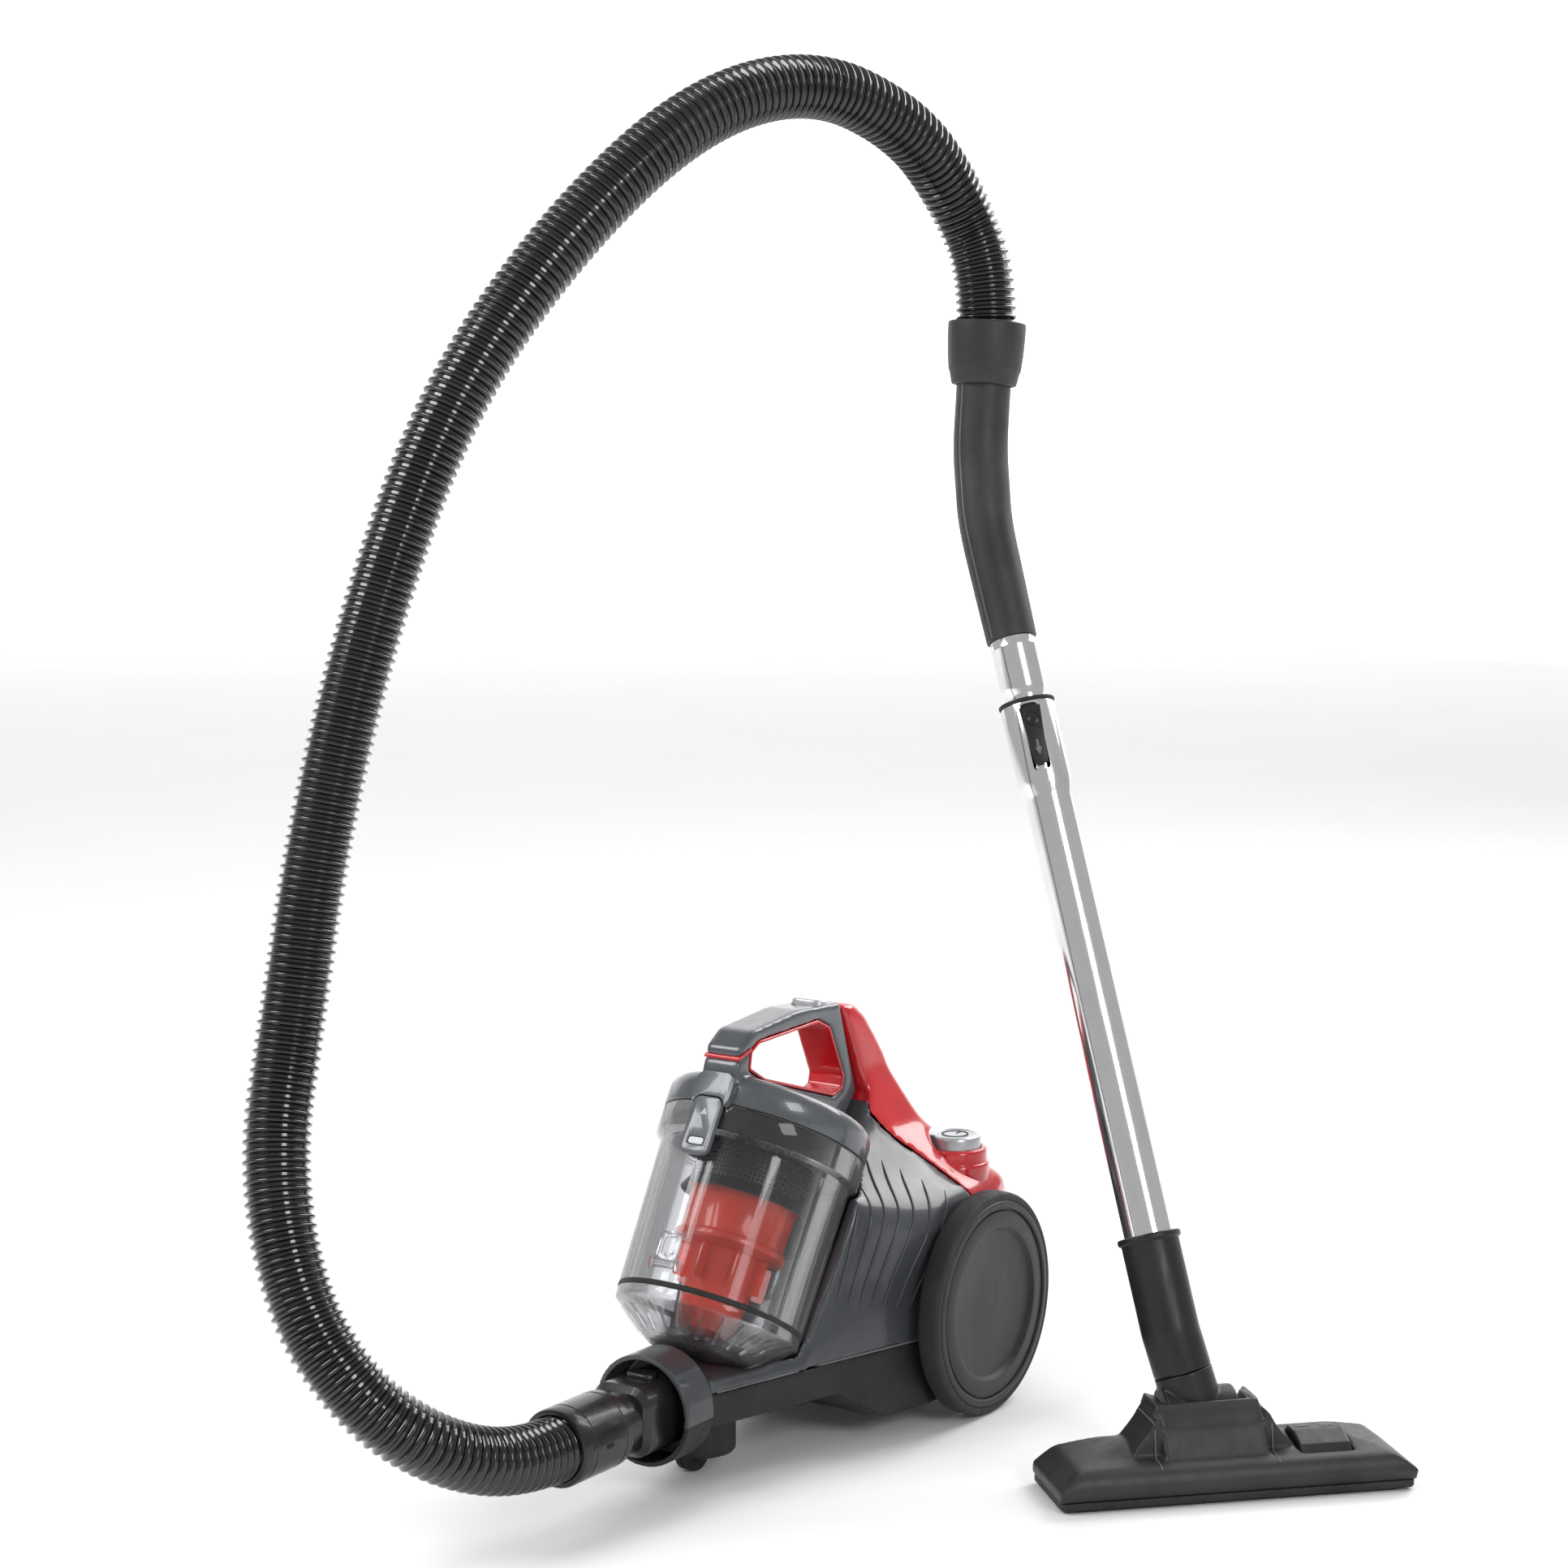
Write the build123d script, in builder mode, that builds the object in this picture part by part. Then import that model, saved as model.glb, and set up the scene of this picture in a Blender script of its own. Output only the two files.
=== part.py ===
"""Bagless canister vacuum cleaner: wheeled body, dust cup, hose, telescopic tube and floor head."""

from build123d import *
from math import cos, radians, sin, tan
import os

# All lengths are millimetres. +Z is up, the canister's front is -Y and its left side is +X.
# Canister pieces are drawn about the floor point under the rear axle, floor-head pieces about
# the middle of the sole, and tube pieces about the bend of the neck, then each group is placed.

# Driving dimensions: canister.
WHEEL_RADIUS = 86.5
WHEEL_OUT = 118.0
WHEEL_THICK = 20.0
BODY_HALF = 95.0
BODY_REAR = 97.0
NOSE_Y = -268.0
NOSE_HALF = 38.0
BASE_LOW = 18.0
NOSE_LOW = 45.0
SPLIT_Z = 70.0
WALL = 3.0
HANDLE_TOP = 324.0

# Driving dimensions: dust cup, measured along and out from its leaning axis.
CUP_LEAN = 31.0
CUP_Y = -217.0
CUP_Z = 111.0
CUP_RADIUS = 70.0
CUP_TOP_RADIUS = 73.5
RIM_RADIUS = 78.5
RIM_LOW = 118.0
CUP_HEIGHT = 139.0
CUP_WALL = 2.5
LID_HEIGHT = 26.0
HOPPER_DEPTH = 31.0
HOPPER_RADIUS = 38.0

# Driving dimensions: collar, hose and its connector.
COLLAR_RADIUS = 41.0
COLLAR_LENGTH = 32.0
COLLAR_Z = 60.0
HOSE_DIAMETER = 47.0
HOSE_AXIS_Z = 60.0
CUFF_RADIUS = 28.0
CUFF_FRONT = -402.0
CUFF_LENGTH = 56.0

# Driving dimensions: telescopic tube.
OUTER_TUBE_RADIUS = 18.0
INNER_TUBE_RADIUS = 15.0
TUBE_WALL = 1.0
NECK_RADIUS = 20.0
NECK_RIM = 70.0
OUTER_TUBE_TOP = 478.0
INNER_TUBE_TOP = 531.0

# Driving dimensions: floor head.
HEAD_WIDTH = 268.0
HEAD_DEPTH = 72.0
HEAD_HEIGHT = 34.0
SOLE_THICK = 7.0

# Openings, ducts and pedals on the body.
AXLE_Z = WHEEL_RADIUS
AXLE_RADIUS = 6.0
PORT_HEIGHT = 86.0
DUCT_RADIUS = 18.0
PEDAL_X = 58.0
PEDAL_Y = 36.0
PEDAL_Z = 196.0
PEDAL_RADIUS = 20.5
POD_Y = -233.0
POD_RADIUS = 29.0
CASTER_RADIUS = 13.0
GRILLE_HALF = 42.0
GRILLE_LOW = 84.0
GRILLE_HIGH = 126.0
OUTLET_X = 58.0
OUTLET_Z = 50.0

# Suction motor and cord reel inside the body.
MOTOR_X = -24.0
MOTOR_Z = 84.0
MOTOR_RADIUS = 48.0
MOTOR_FRONT = -18.0
MOTOR_LENGTH = 84.0
SHAFT_RADIUS = 4.0
REEL_X = 34.0
REEL_Z = 86.0
REEL_RADIUS = 56.0
REEL_WIDTH = 44.0

# Cup catch, carrying handle and its button.
CATCH_OUT = 4.2
HANDLE_HALF = 16.0
BUTTON_Y = -82.0

# Hand grip, elbow barrel and the floor head's rocker pedal.
GRIP_RADIUS = 21.0
ELBOW_RADIUS = 21.5
ELBOW_LENGTH = 34.0
BARREL_RADIUS = 22.0
BARREL_HALF = 27.0
ROCKER_OFFSET = 70.0

# Fits: radial clearance of a running shaft, and the gap left between parts that only face each other.
RUNNING = 0.05
FACE_GAP = 0.3
CUP_GAP = 1.5

# Placement of the groups about the middle of the whole object's footprint.
ROW_X = 172.8
ROW_Y = -151.5
HEAD_X = 339.9
HEAD_Y = -52.9
HEAD_YAW = 45.9
NECK_POINT = (292.7, -48.4, 106.1)
TUBE_LEAN = (-0.3474, 0.1506, 0.9256)
SLIDER_SIDE = (0.5, -0.85, 0.3258)
ELBOW_PIVOT = (-14.0, 22.0, 46.0)

ROW = Location((-ROW_X, -ROW_Y, 0))
HEAD = ROW * Location((HEAD_X, HEAD_Y, 0), (0, 0, HEAD_YAW))
TUBE = ROW * Plane(origin=NECK_POINT, x_dir=SLIDER_SIDE, z_dir=TUBE_LEAN).location
CUP_PLANE = Plane(
    origin=(0, CUP_Y, CUP_Z),
    x_dir=(1, 0, 0),
    z_dir=(0, sin(radians(CUP_LEAN)), cos(radians(CUP_LEAN))),
)
CUP = ROW * CUP_PLANE.location
CATCH_PLANE = Plane.XZ.offset(RIM_RADIUS)

# The hose runs from the cuff, forward and up in one loop, into the handle's swivel collar.
HOSE_POINTS = [
    (-172.8, -240.5, 60), (-172.8, -288.5, 59), (-192.8, -348.5, 80), (-227.8, -388.5, 120),
    (-272.8, -398.5, 180), (-307.8, -383.5, 270), (-317.8, -348.5, 365), (-317.8, -318.5, 490),
    (-307.8, -273.5, 635), (-287.8, -213.5, 780), (-247.8, -133.5, 895), (-202.8, -38.5, 985),
    (-167.8, 61.5, 1015), (-137.8, 146.5, 985), (-127.8, 201.5, 935), (-107.8, 219.5, 872), (-107.8, 213.5, 812),
]


def save(piece, name, place=ROW):
    """Put a finished piece in its place, label it and write its STEP file."""
    moved = piece.moved(place)
    moved.label = name
    export_step(moved, f"parts/{name}.step")


def ring(outer, inner, height, plane=Plane.XY):
    """A plain tube standing on a plane."""
    with BuildPart() as tube:
        with BuildSketch(plane):
            Circle(outer)
            Circle(inner, mode=Mode.SUBTRACT)
        extrude(amount=height)
    return tube.part


def rod(radius, height, plane=Plane.XY):
    """A plain round bar standing on a plane."""
    with BuildPart() as bar:
        with BuildSketch(plane):
            Circle(radius)
        extrude(amount=height)
    return bar.part


def turned(points, axis_plane=Plane.XZ):
    """A solid turned about Z from a closed (radius, height) outline."""
    with BuildPart() as body:
        with BuildSketch(axis_plane):
            with BuildLine():
                Polyline(*points, close=True)
            make_face()
        revolve(axis=Axis.Z)
    return body.part


def bent_tube(points, radii, outer, inner):
    """A round tube along straight runs joined by tangent arcs."""
    with BuildPart() as tube:
        with BuildLine() as path:
            FilletPolyline(*points, radius=radii)
        with BuildSketch(Plane(origin=path.line @ 0, z_dir=path.line % 0)):
            Circle(outer)
            if inner:
                Circle(inner, mode=Mode.SUBTRACT)
        sweep(path=path.line)
    return tube.part


# ---------------------------------------------------------------- canister body


def plan_outline(inset):
    """The body seen from above: narrow nose, full width at the axle, rounded rear."""
    with BuildSketch() as plan:
        with BuildLine():
            Polyline(
                (0, NOSE_Y), (NOSE_HALF, NOSE_Y), (BODY_HALF - 2, -62), (BODY_HALF, 34),
                (BODY_HALF - 13, BODY_REAR - 18), (BODY_HALF - 50, BODY_REAR), (0, BODY_REAR),
            )
            mirror(about=Plane.YZ)
        make_face()
        if inset:
            offset(amount=-inset, kind=Kind.INTERSECTION, mode=Mode.REPLACE)
        fillet(plan.vertices().filter_by(lambda corner: corner.Y > 0 and abs(corner.X) > 1), 24)
    return plan.sketch


def side_outline(inset):
    """The body seen from its left: flat nose, cradle behind the cup, spine and rounded tail."""
    with BuildSketch(Plane.YZ) as side:
        with BuildLine():
            Polyline(
                (NOSE_Y, 80), (NOSE_Y, NOSE_LOW), (-150, NOSE_LOW), (-106, BASE_LOW), (66, BASE_LOW),
                (94, 46), (BODY_REAR + 1, 110), (88, 152), (48, 190), (22, 218), (6, 248), (-10, 280),
                (-30, 308), (-44, HANDLE_TOP - 5), (-63.5, HANDLE_TOP - 3.5), (-39, 249), (-58, 230), (-105, 219),
                (-178, 92), (-222, 80), close=True,
            )
        make_face()
        if inset:
            offset(amount=-inset, kind=Kind.INTERSECTION, mode=Mode.REPLACE)
        fillet(side.vertices().filter_by(lambda corner: corner.X > -30 and corner.Y > 40), 26)
    return side.sketch


def front_outline(inset):
    """The body seen from the front: upright sides that lean in to the narrow spine."""
    with BuildSketch(Plane.XZ) as front:
        with BuildLine():
            Polyline(
                (0, 10), (BODY_HALF, 10), (BODY_HALF, 146), (88, 170), (62, 192), (38, 222), (23, 262),
                (17, HANDLE_TOP + 8), (0, HANDLE_TOP + 8),
            )
            mirror(about=Plane.YZ)
        make_face()
        if inset:
            offset(amount=-inset, kind=Kind.INTERSECTION, mode=Mode.REPLACE)
        fillet(front.vertices().filter_by(lambda corner: 120 < corner.Y < 300), 24)
    return front.sketch


def body_blank(inset):
    """The whole body's form, shrunk by an inset: where its three outlines meet."""
    with BuildPart() as blank:
        extrude(plan_outline(inset), amount=400)
        extrude(side_outline(inset), amount=150, both=True, mode=Mode.INTERSECT)
        extrude(front_outline(inset), amount=400, both=True, mode=Mode.INTERSECT)
    return blank.part


def cup_envelope(gap):
    """The room the dust cup and its lid need, with a gap all round."""
    points = [
        (0, -HOPPER_DEPTH - gap), (HOPPER_RADIUS + gap, -HOPPER_DEPTH - gap),
        (CUP_RADIUS + gap, -8 - gap), (CUP_RADIUS + gap, 0), (CUP_TOP_RADIUS + gap, RIM_LOW - gap - 3),
        (RIM_RADIUS + gap, RIM_LOW - gap), (RIM_RADIUS + gap, CUP_HEIGHT + LID_HEIGHT + gap + 24),
        (0, CUP_HEIGHT + LID_HEIGHT + gap + 24),
    ]
    return turned(points).moved(CUP_PLANE.location)


def cover_region():
    """Everything above the line along which the red cover meets the side shell."""
    with BuildPart() as region:
        with BuildSketch(Plane.YZ):
            with BuildLine():
                Polyline(
                    (-120, 340), (-39, 249), (-47, 236), (-28, 212), (-4, 190), (14, 160),
                    (130, 148), (130, 340), close=True,
                )
            make_face()
        extrude(amount=150, both=True)
    return region.part


def nose_bore(radius, depth):
    """A cylinder along the hose axis through the nose wall."""
    with BuildPart() as bore:
        with BuildSketch(Plane.XZ.offset(-NOSE_Y + 1)):
            with Locations((0, HOSE_AXIS_Z)):
                Circle(radius)
        extrude(amount=-depth)
    return bore.part


def inlet_port(radius, start, length):
    """A cylinder square to the cup's rear wall, at the height where dirty air enters."""
    port = CUP_PLANE * Plane(origin=(0, start, PORT_HEIGHT), x_dir=(1, 0, 0), z_dir=(0, 1, 0))
    return rod(radius, length, port)


def make_body():
    """Base tray, side shell and red rear cover, three hollow mouldings split from one form."""
    outer = body_blank(0)
    cavity = body_blank(WALL) - cup_envelope(CUP_GAP + WALL)
    hollow = outer - cup_envelope(CUP_GAP) - cavity
    hollow -= nose_bore(20, 16)
    hollow -= inlet_port(DUCT_RADIUS + 1, CUP_RADIUS - 8, 30)
    for side in (1, -1):
        hole = Plane(origin=(side * (BODY_HALF - 8), 0, AXLE_Z), z_dir=(side, 0, 0))
        hollow -= rod(AXLE_RADIUS, 30, hole)
    red = cover_region()
    with BuildPart() as low_half:
        with Locations((0, 0, SPLIT_Z / 2)):
            Box(400, 800, SPLIT_Z)

    dish, tray = (hollow & low_half.part).solids().sort_by(SortBy.VOLUME)
    with BuildPart() as base:
        add(tray)
        with BuildSketch(Plane.XY.offset(14)):
            with Locations((0, POD_Y)):
                Circle(POD_RADIUS)
        extrude(amount=NOSE_LOW - 14 + WALL)
        with BuildSketch(Plane.XY.offset(8)):
            with Locations((0, POD_Y)):
                Circle(POD_RADIUS - 3)
        extrude(amount=32.5 - 8, mode=Mode.SUBTRACT)
        with BuildSketch(Plane.XY.offset(30)):
            with Locations((0, POD_Y)):
                Circle(5 + RUNNING)
        extrude(amount=14.4, mode=Mode.SUBTRACT)
        with BuildSketch(Plane.XZ.offset(-BODY_REAR - 5)):
            with Locations((OUTLET_X, OUTLET_Z)):
                Circle(9)
        extrude(amount=40, mode=Mode.SUBTRACT)
    save(base.part, "base_tray")

    shell = hollow - low_half.part - red
    with BuildPart() as side_shell:
        add(shell)
        add(dish)
        with BuildSketch(Plane.XZ.offset(-BODY_REAR - 5)):
            with Locations((0, (GRILLE_LOW + GRILLE_HIGH) / 2)):
                Rectangle(2 * GRILLE_HALF, GRILLE_HIGH - GRILLE_LOW)
        extrude(amount=30, mode=Mode.SUBTRACT)
    save(side_shell.part, "side_shell")

    with BuildPart() as cover:
        add(hollow & red)
        for side in (1, -1):
            with BuildSketch(Plane.XY.offset(166)):
                with Locations((side * PEDAL_X, PEDAL_Y)):
                    Circle(PEDAL_RADIUS + 3)
            extrude(amount=PEDAL_Z - 166)
            with BuildSketch(Plane.XY.offset(150)):
                with Locations((side * PEDAL_X, PEDAL_Y)):
                    Circle(PEDAL_RADIUS + FACE_GAP)
            extrude(amount=60, mode=Mode.SUBTRACT)
    save(cover.part, "rear_cover")


def make_collar():
    """Round inlet collar on the nose: dark lower ring and glossy upper hood."""
    start = Plane.XZ.offset(-NOSE_Y)
    with BuildPart() as collar:
        with BuildSketch(start):
            with Locations((0, COLLAR_Z)):
                Circle(COLLAR_RADIUS)
        extrude(amount=COLLAR_LENGTH)
        with BuildSketch(start.offset(6)):
            with Locations((0, COLLAR_Z)):
                Circle(COLLAR_RADIUS - 4)
        extrude(amount=COLLAR_LENGTH, mode=Mode.SUBTRACT)
        with BuildSketch(start.offset(-1)):
            with Locations((0, HOSE_AXIS_Z)):
                Circle(20)
        extrude(amount=COLLAR_LENGTH, mode=Mode.SUBTRACT)
    with BuildPart() as upper_half:
        with Locations((0, NOSE_Y - COLLAR_LENGTH / 2 - 5, COLLAR_Z + 50 - 6)):
            Box(200, COLLAR_LENGTH + 10.01, 100)
    ring_body = collar.part - cup_envelope(CUP_GAP)
    save(ring_body - upper_half.part, "inlet_collar")
    save(ring_body & upper_half.part, "collar_hood")


def in_cup(out, height):
    """Canister (y, z) of a point given out from and along the leaning cup axis."""
    lean = radians(CUP_LEAN)
    return (
        CUP_Y + height * sin(lean) + out * cos(lean),
        CUP_Z + height * cos(lean) - out * sin(lean),
    )


def make_inlet_duct():
    """Flat duct from the collar, under the cup's hopper and up to the port in its rear wall."""
    floor = NOSE_LOW + WALL + FACE_GAP
    back = CUP_TOP_RADIUS + CUP_GAP + WALL + FACE_GAP + 0.5
    with BuildPart() as duct:
        with BuildSketch(Plane.YZ):
            with BuildLine():
                Polyline(
                    (NOSE_Y + WALL + FACE_GAP + 1.5, floor), (NOSE_Y + WALL + FACE_GAP + 1.5, 76.5), (-233, 76.5),
                    (-200, 57), (-157, 60.3), in_cup(back, 2), in_cup(back, 106), in_cup(back + 24, 106),
                    in_cup(back + 24, 8), (-140, floor), close=True,
                )
            make_face()
        extrude(amount=20, both=True)
        with BuildSketch(Plane.YZ):
            with BuildLine():
                Polyline(
                    (NOSE_Y, floor + 1.2), (NOSE_Y, 75), (-234, 75),
                    (-201, 55.5), (-158, 58.8), in_cup(back + 1.5, 0), in_cup(back + 1.5, 104.5),
                    in_cup(back + 22.5, 104.5), in_cup(back + 22.5, 8), (-141, floor + 1.2), close=True,
                )
            make_face()
        extrude(amount=18.5, both=True, mode=Mode.SUBTRACT)
        add(inlet_port(DUCT_RADIUS - 2, CUP_RADIUS + 3, 8))
        add(inlet_port(DUCT_RADIUS - 4, CUP_RADIUS, 14), mode=Mode.SUBTRACT)
        add(cup_envelope(CUP_GAP - 0.5), mode=Mode.SUBTRACT)
    save(duct.part, "inlet_duct")


def make_motor():
    """Suction motor: drum with bearing bosses, stator, rotor with shaft, fan wheel and rubber rings."""
    front = Plane(origin=(MOTOR_X, MOTOR_FRONT, MOTOR_Z), x_dir=(1, 0, 0), z_dir=(0, 1, 0))
    length = MOTOR_LENGTH
    with BuildPart() as drum:
        with BuildSketch(front):
            Circle(MOTOR_RADIUS)
        extrude(amount=length)
        with BuildSketch(front.offset(3)):
            Circle(MOTOR_RADIUS - 3)
        extrude(amount=length - 6, mode=Mode.SUBTRACT)
        with BuildSketch(front.offset(-1)):
            Circle(16)
        extrude(amount=8, mode=Mode.SUBTRACT)
        with BuildSketch(front.offset(length - 4)):
            Circle(8)
            with PolarLocations(30, 8):
                Circle(7)
        extrude(amount=8, mode=Mode.SUBTRACT)
        for place in (21, length - 12):
            with BuildSketch(front.offset(place)):
                Circle(MOTOR_RADIUS - 2)
                Circle(MOTOR_RADIUS - 7, mode=Mode.SUBTRACT)
                Circle(14)
                with PolarLocations(28, 3):
                    Rectangle(32, 8)
                Circle(SHAFT_RADIUS + RUNNING, mode=Mode.SUBTRACT)
            extrude(amount=4)
    save(drum.part, "motor_housing")
    save(ring(MOTOR_RADIUS - 3, 30, 40, front.offset(26)), "motor_stator")
    with BuildPart() as rotor:
        with BuildSketch(front.offset(7)):
            Circle(SHAFT_RADIUS)
        extrude(amount=length - 10)
        with BuildSketch(front.offset(28)):
            Circle(29)
        extrude(amount=36)
    save(rotor.part, "motor_rotor")
    with BuildPart() as fan:
        with BuildSketch(front.offset(8)):
            Circle(42)
            Circle(SHAFT_RADIUS, mode=Mode.SUBTRACT)
        extrude(amount=2)
        with BuildSketch(front.offset(10)):
            with PolarLocations(27, 9):
                Rectangle(24, 2)
        extrude(amount=9)
    save(fan.part, "fan_wheel")
    with BuildPart() as rubber:
        for place in (4, length - 16):
            with BuildSketch(front.offset(place)):
                Circle(MOTOR_RADIUS + 4)
                Circle(MOTOR_RADIUS, mode=Mode.SUBTRACT)
            extrude(amount=12)
    save(rubber.part, "motor_mounts")


def make_reel():
    """Mains-cord reel: drum that turns on a fixed spindle held by a bracket."""
    plane = Plane(origin=(REEL_X, 14, REEL_Z), x_dir=(0, 1, 0), z_dir=(1, 0, 0))
    with BuildPart() as drum:
        with BuildSketch(plane):
            Circle(REEL_RADIUS)
        extrude(amount=REEL_WIDTH)
        with BuildSketch(plane.offset(4)):
            Circle(REEL_RADIUS + 1)
            Circle(28, mode=Mode.SUBTRACT)
        extrude(amount=REEL_WIDTH - 8, mode=Mode.SUBTRACT)
        with BuildSketch(plane.offset(-1)):
            Circle(5 + RUNNING)
        extrude(amount=REEL_WIDTH + 2, mode=Mode.SUBTRACT)
    save(drum.part, "cord_reel")
    with BuildPart() as bracket:
        with BuildSketch(plane.offset(-FACE_GAP)):
            Circle(5)
        extrude(amount=REEL_WIDTH + 2 * FACE_GAP)
        with BuildSketch(Plane.XY.offset(BASE_LOW + WALL)):
            with Locations((REEL_X + REEL_WIDTH + FACE_GAP + 2, 14)):
                Rectangle(4, 40)
        extrude(amount=REEL_Z - BASE_LOW - WALL + 12)
        with BuildSketch(Plane.XY.offset(BASE_LOW + WALL)):
            with Locations((REEL_X - FACE_GAP - 2, 14)):
                Rectangle(4, 30)
        extrude(amount=REEL_Z - BASE_LOW - WALL + 12)
    save(bracket.part, "reel_bracket")
    with BuildPart() as gland:
        with BuildSketch(Plane.XZ.offset(-BODY_REAR - 2)):
            with Locations((OUTLET_X, OUTLET_Z)):
                Circle(9)
                Circle(4, mode=Mode.SUBTRACT)
        extrude(amount=26)
    save(gland.part, "cord_outlet")


def make_filter_and_board():
    """Exhaust filter and grille at the tail, and the control board on the cradle."""
    with BuildPart() as grille:
        with BuildSketch(Plane.XZ.offset(-BODY_REAR + 1)):
            with Locations((0, (GRILLE_LOW + GRILLE_HIGH) / 2)):
                Rectangle(2 * GRILLE_HALF, GRILLE_HIGH - GRILLE_LOW)
        extrude(amount=14)
        with BuildSketch(Plane.XZ.offset(-BODY_REAR - 1)):
            with Locations((0, (GRILLE_LOW + GRILLE_HIGH) / 2)):
                with GridLocations(0, 6, 1, 6):
                    Rectangle(2 * GRILLE_HALF - 10, 3)
        extrude(amount=20, mode=Mode.SUBTRACT)
    save(grille.part, "exhaust_grille")
    with BuildPart() as pleats:
        with BuildSketch(Plane.XZ.offset(-BODY_REAR + 15)):
            with Locations((0, (GRILLE_LOW + GRILLE_HIGH) / 2)):
                Rectangle(2 * GRILLE_HALF - 4, GRILLE_HIGH - GRILLE_LOW - 4)
        extrude(amount=9)
    save(pleats.part, "exhaust_filter")
    with BuildPart() as board:
        with BuildSketch(Plane.XY.offset(148)):
            with Locations((0, 20)):
                Rectangle(60, 46)
        extrude(amount=1.6)
        with BuildSketch(Plane.XY.offset(149.6)):
            with Locations((-14, 22), (10, 14)):
                Rectangle(14, 20)
        extrude(amount=9)
    save(board.part, "control_board")


def make_pedals():
    """Two round foot pedals on the rear cover."""
    for side, name in ((1, "power_pedal"), (-1, "rewind_pedal")):
        with BuildPart() as pedal:
            with BuildSketch(Plane.XY.offset(178)):
                with Locations((side * PEDAL_X, PEDAL_Y)):
                    Circle(PEDAL_RADIUS)
            extrude(amount=PEDAL_Z + 11 - 178)
            chamfer(pedal.faces().sort_by(Axis.Z)[-1].edges(), 2)
            with BuildSketch(Plane.XY.offset(PEDAL_Z + 10)):
                with Locations((side * PEDAL_X, PEDAL_Y)):
                    Circle(12)
                    Circle(10.5, mode=Mode.SUBTRACT)
            extrude(amount=1, mode=Mode.SUBTRACT)
        save(pedal.part, name)


def make_wheels():
    """Rear wheels: dished disc with a soft tread, turning on stub axles set in the body."""
    inner = WHEEL_OUT - WHEEL_THICK
    tread = WHEEL_RADIUS - 6
    for side, name in ((1, "left"), (-1, "right")):
        plane = Plane(origin=(side * inner, 0, AXLE_Z), x_dir=(0, side, 0), z_dir=(side, 0, 0))
        with BuildPart() as disc:
            with BuildSketch(plane):
                Circle(tread)
            extrude(amount=WHEEL_THICK - 2)
            with BuildSketch(plane.offset(WHEEL_THICK - 4)):
                Circle(tread - 6)
                Circle(tread - 8, mode=Mode.SUBTRACT)
            extrude(amount=3, mode=Mode.SUBTRACT)
            with BuildSketch(plane.offset(WHEEL_THICK - 4)):
                Circle(tread - 22)
                Circle(tread - 25, mode=Mode.SUBTRACT)
            extrude(amount=3, mode=Mode.SUBTRACT)
            with BuildSketch(plane.offset(-1)):
                Circle(tread - 4)
                Circle(16, mode=Mode.SUBTRACT)
            extrude(amount=9, mode=Mode.SUBTRACT)
            with BuildSketch(plane.offset(-1)):
                Circle(AXLE_RADIUS + RUNNING)
            extrude(amount=WHEEL_THICK - 6, mode=Mode.SUBTRACT)
        save(disc.part, f"{name}_wheel")
        with BuildPart() as tyre:
            with BuildSketch(plane):
                Circle(WHEEL_RADIUS)
                Circle(tread, mode=Mode.SUBTRACT)
            extrude(amount=WHEEL_THICK - 1)
            rims = tyre.edges().filter_by(GeomType.CIRCLE).group_by(SortBy.RADIUS)[-1]
            fillet(rims, 3)
        save(tyre.part, f"{name}_tread")
    with BuildPart() as axles:
        for side in (1, -1):
            plane = Plane(origin=(side * inner, 0, AXLE_Z), x_dir=(0, side, 0), z_dir=(side, 0, 0))
            with BuildSketch(plane.offset(-14)):
                Circle(AXLE_RADIUS)
            extrude(amount=14 + WHEEL_THICK - 8)
            with BuildSketch(plane.offset(-14)):
                Circle(AXLE_RADIUS + 5)
            extrude(amount=7)
    save(axles.part, "stub_axles")


def make_caster():
    """Front caster: fork with its wheel pin, turning in the pod, and the small wheel."""
    wheel_y = POD_Y - 6
    pivot_y = POD_Y
    side = Plane(origin=(-7.5, wheel_y, CASTER_RADIUS), x_dir=(0, 1, 0), z_dir=(1, 0, 0))
    with BuildPart() as fork:
        with BuildSketch(Plane.XY.offset(27)):
            with Locations((0, pivot_y)):
                Circle(16)
        extrude(amount=5)
        with BuildSketch(Plane.XY.offset(32)):
            with Locations((0, pivot_y)):
                Circle(5)
        extrude(amount=12)
        with BuildSketch(Plane.XY.offset(9)):
            with Locations((9.5, wheel_y), (-9.5, wheel_y)):
                Rectangle(3, 14)
        extrude(amount=20)
        add(rod(2, 18, side.offset(-1.5)))
    save(fork.part, "caster_fork")
    save(ring(CASTER_RADIUS, 2 + RUNNING, 15, side), "caster_wheel")


def make_outlet_duct():
    """Clean-air duct from behind the cup's lid down to the motor."""
    duct = bent_tube(
        [(-8, -46, 206), (-20, -10, 186), (MOTOR_X, MOTOR_FRONT - 12, 150), (MOTOR_X, MOTOR_FRONT - 17, 100)],
        [20, 24], 12, 10,
    )
    save(duct, "outlet_duct")


# ---------------------------------------------------------------- dust cup and lid


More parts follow.
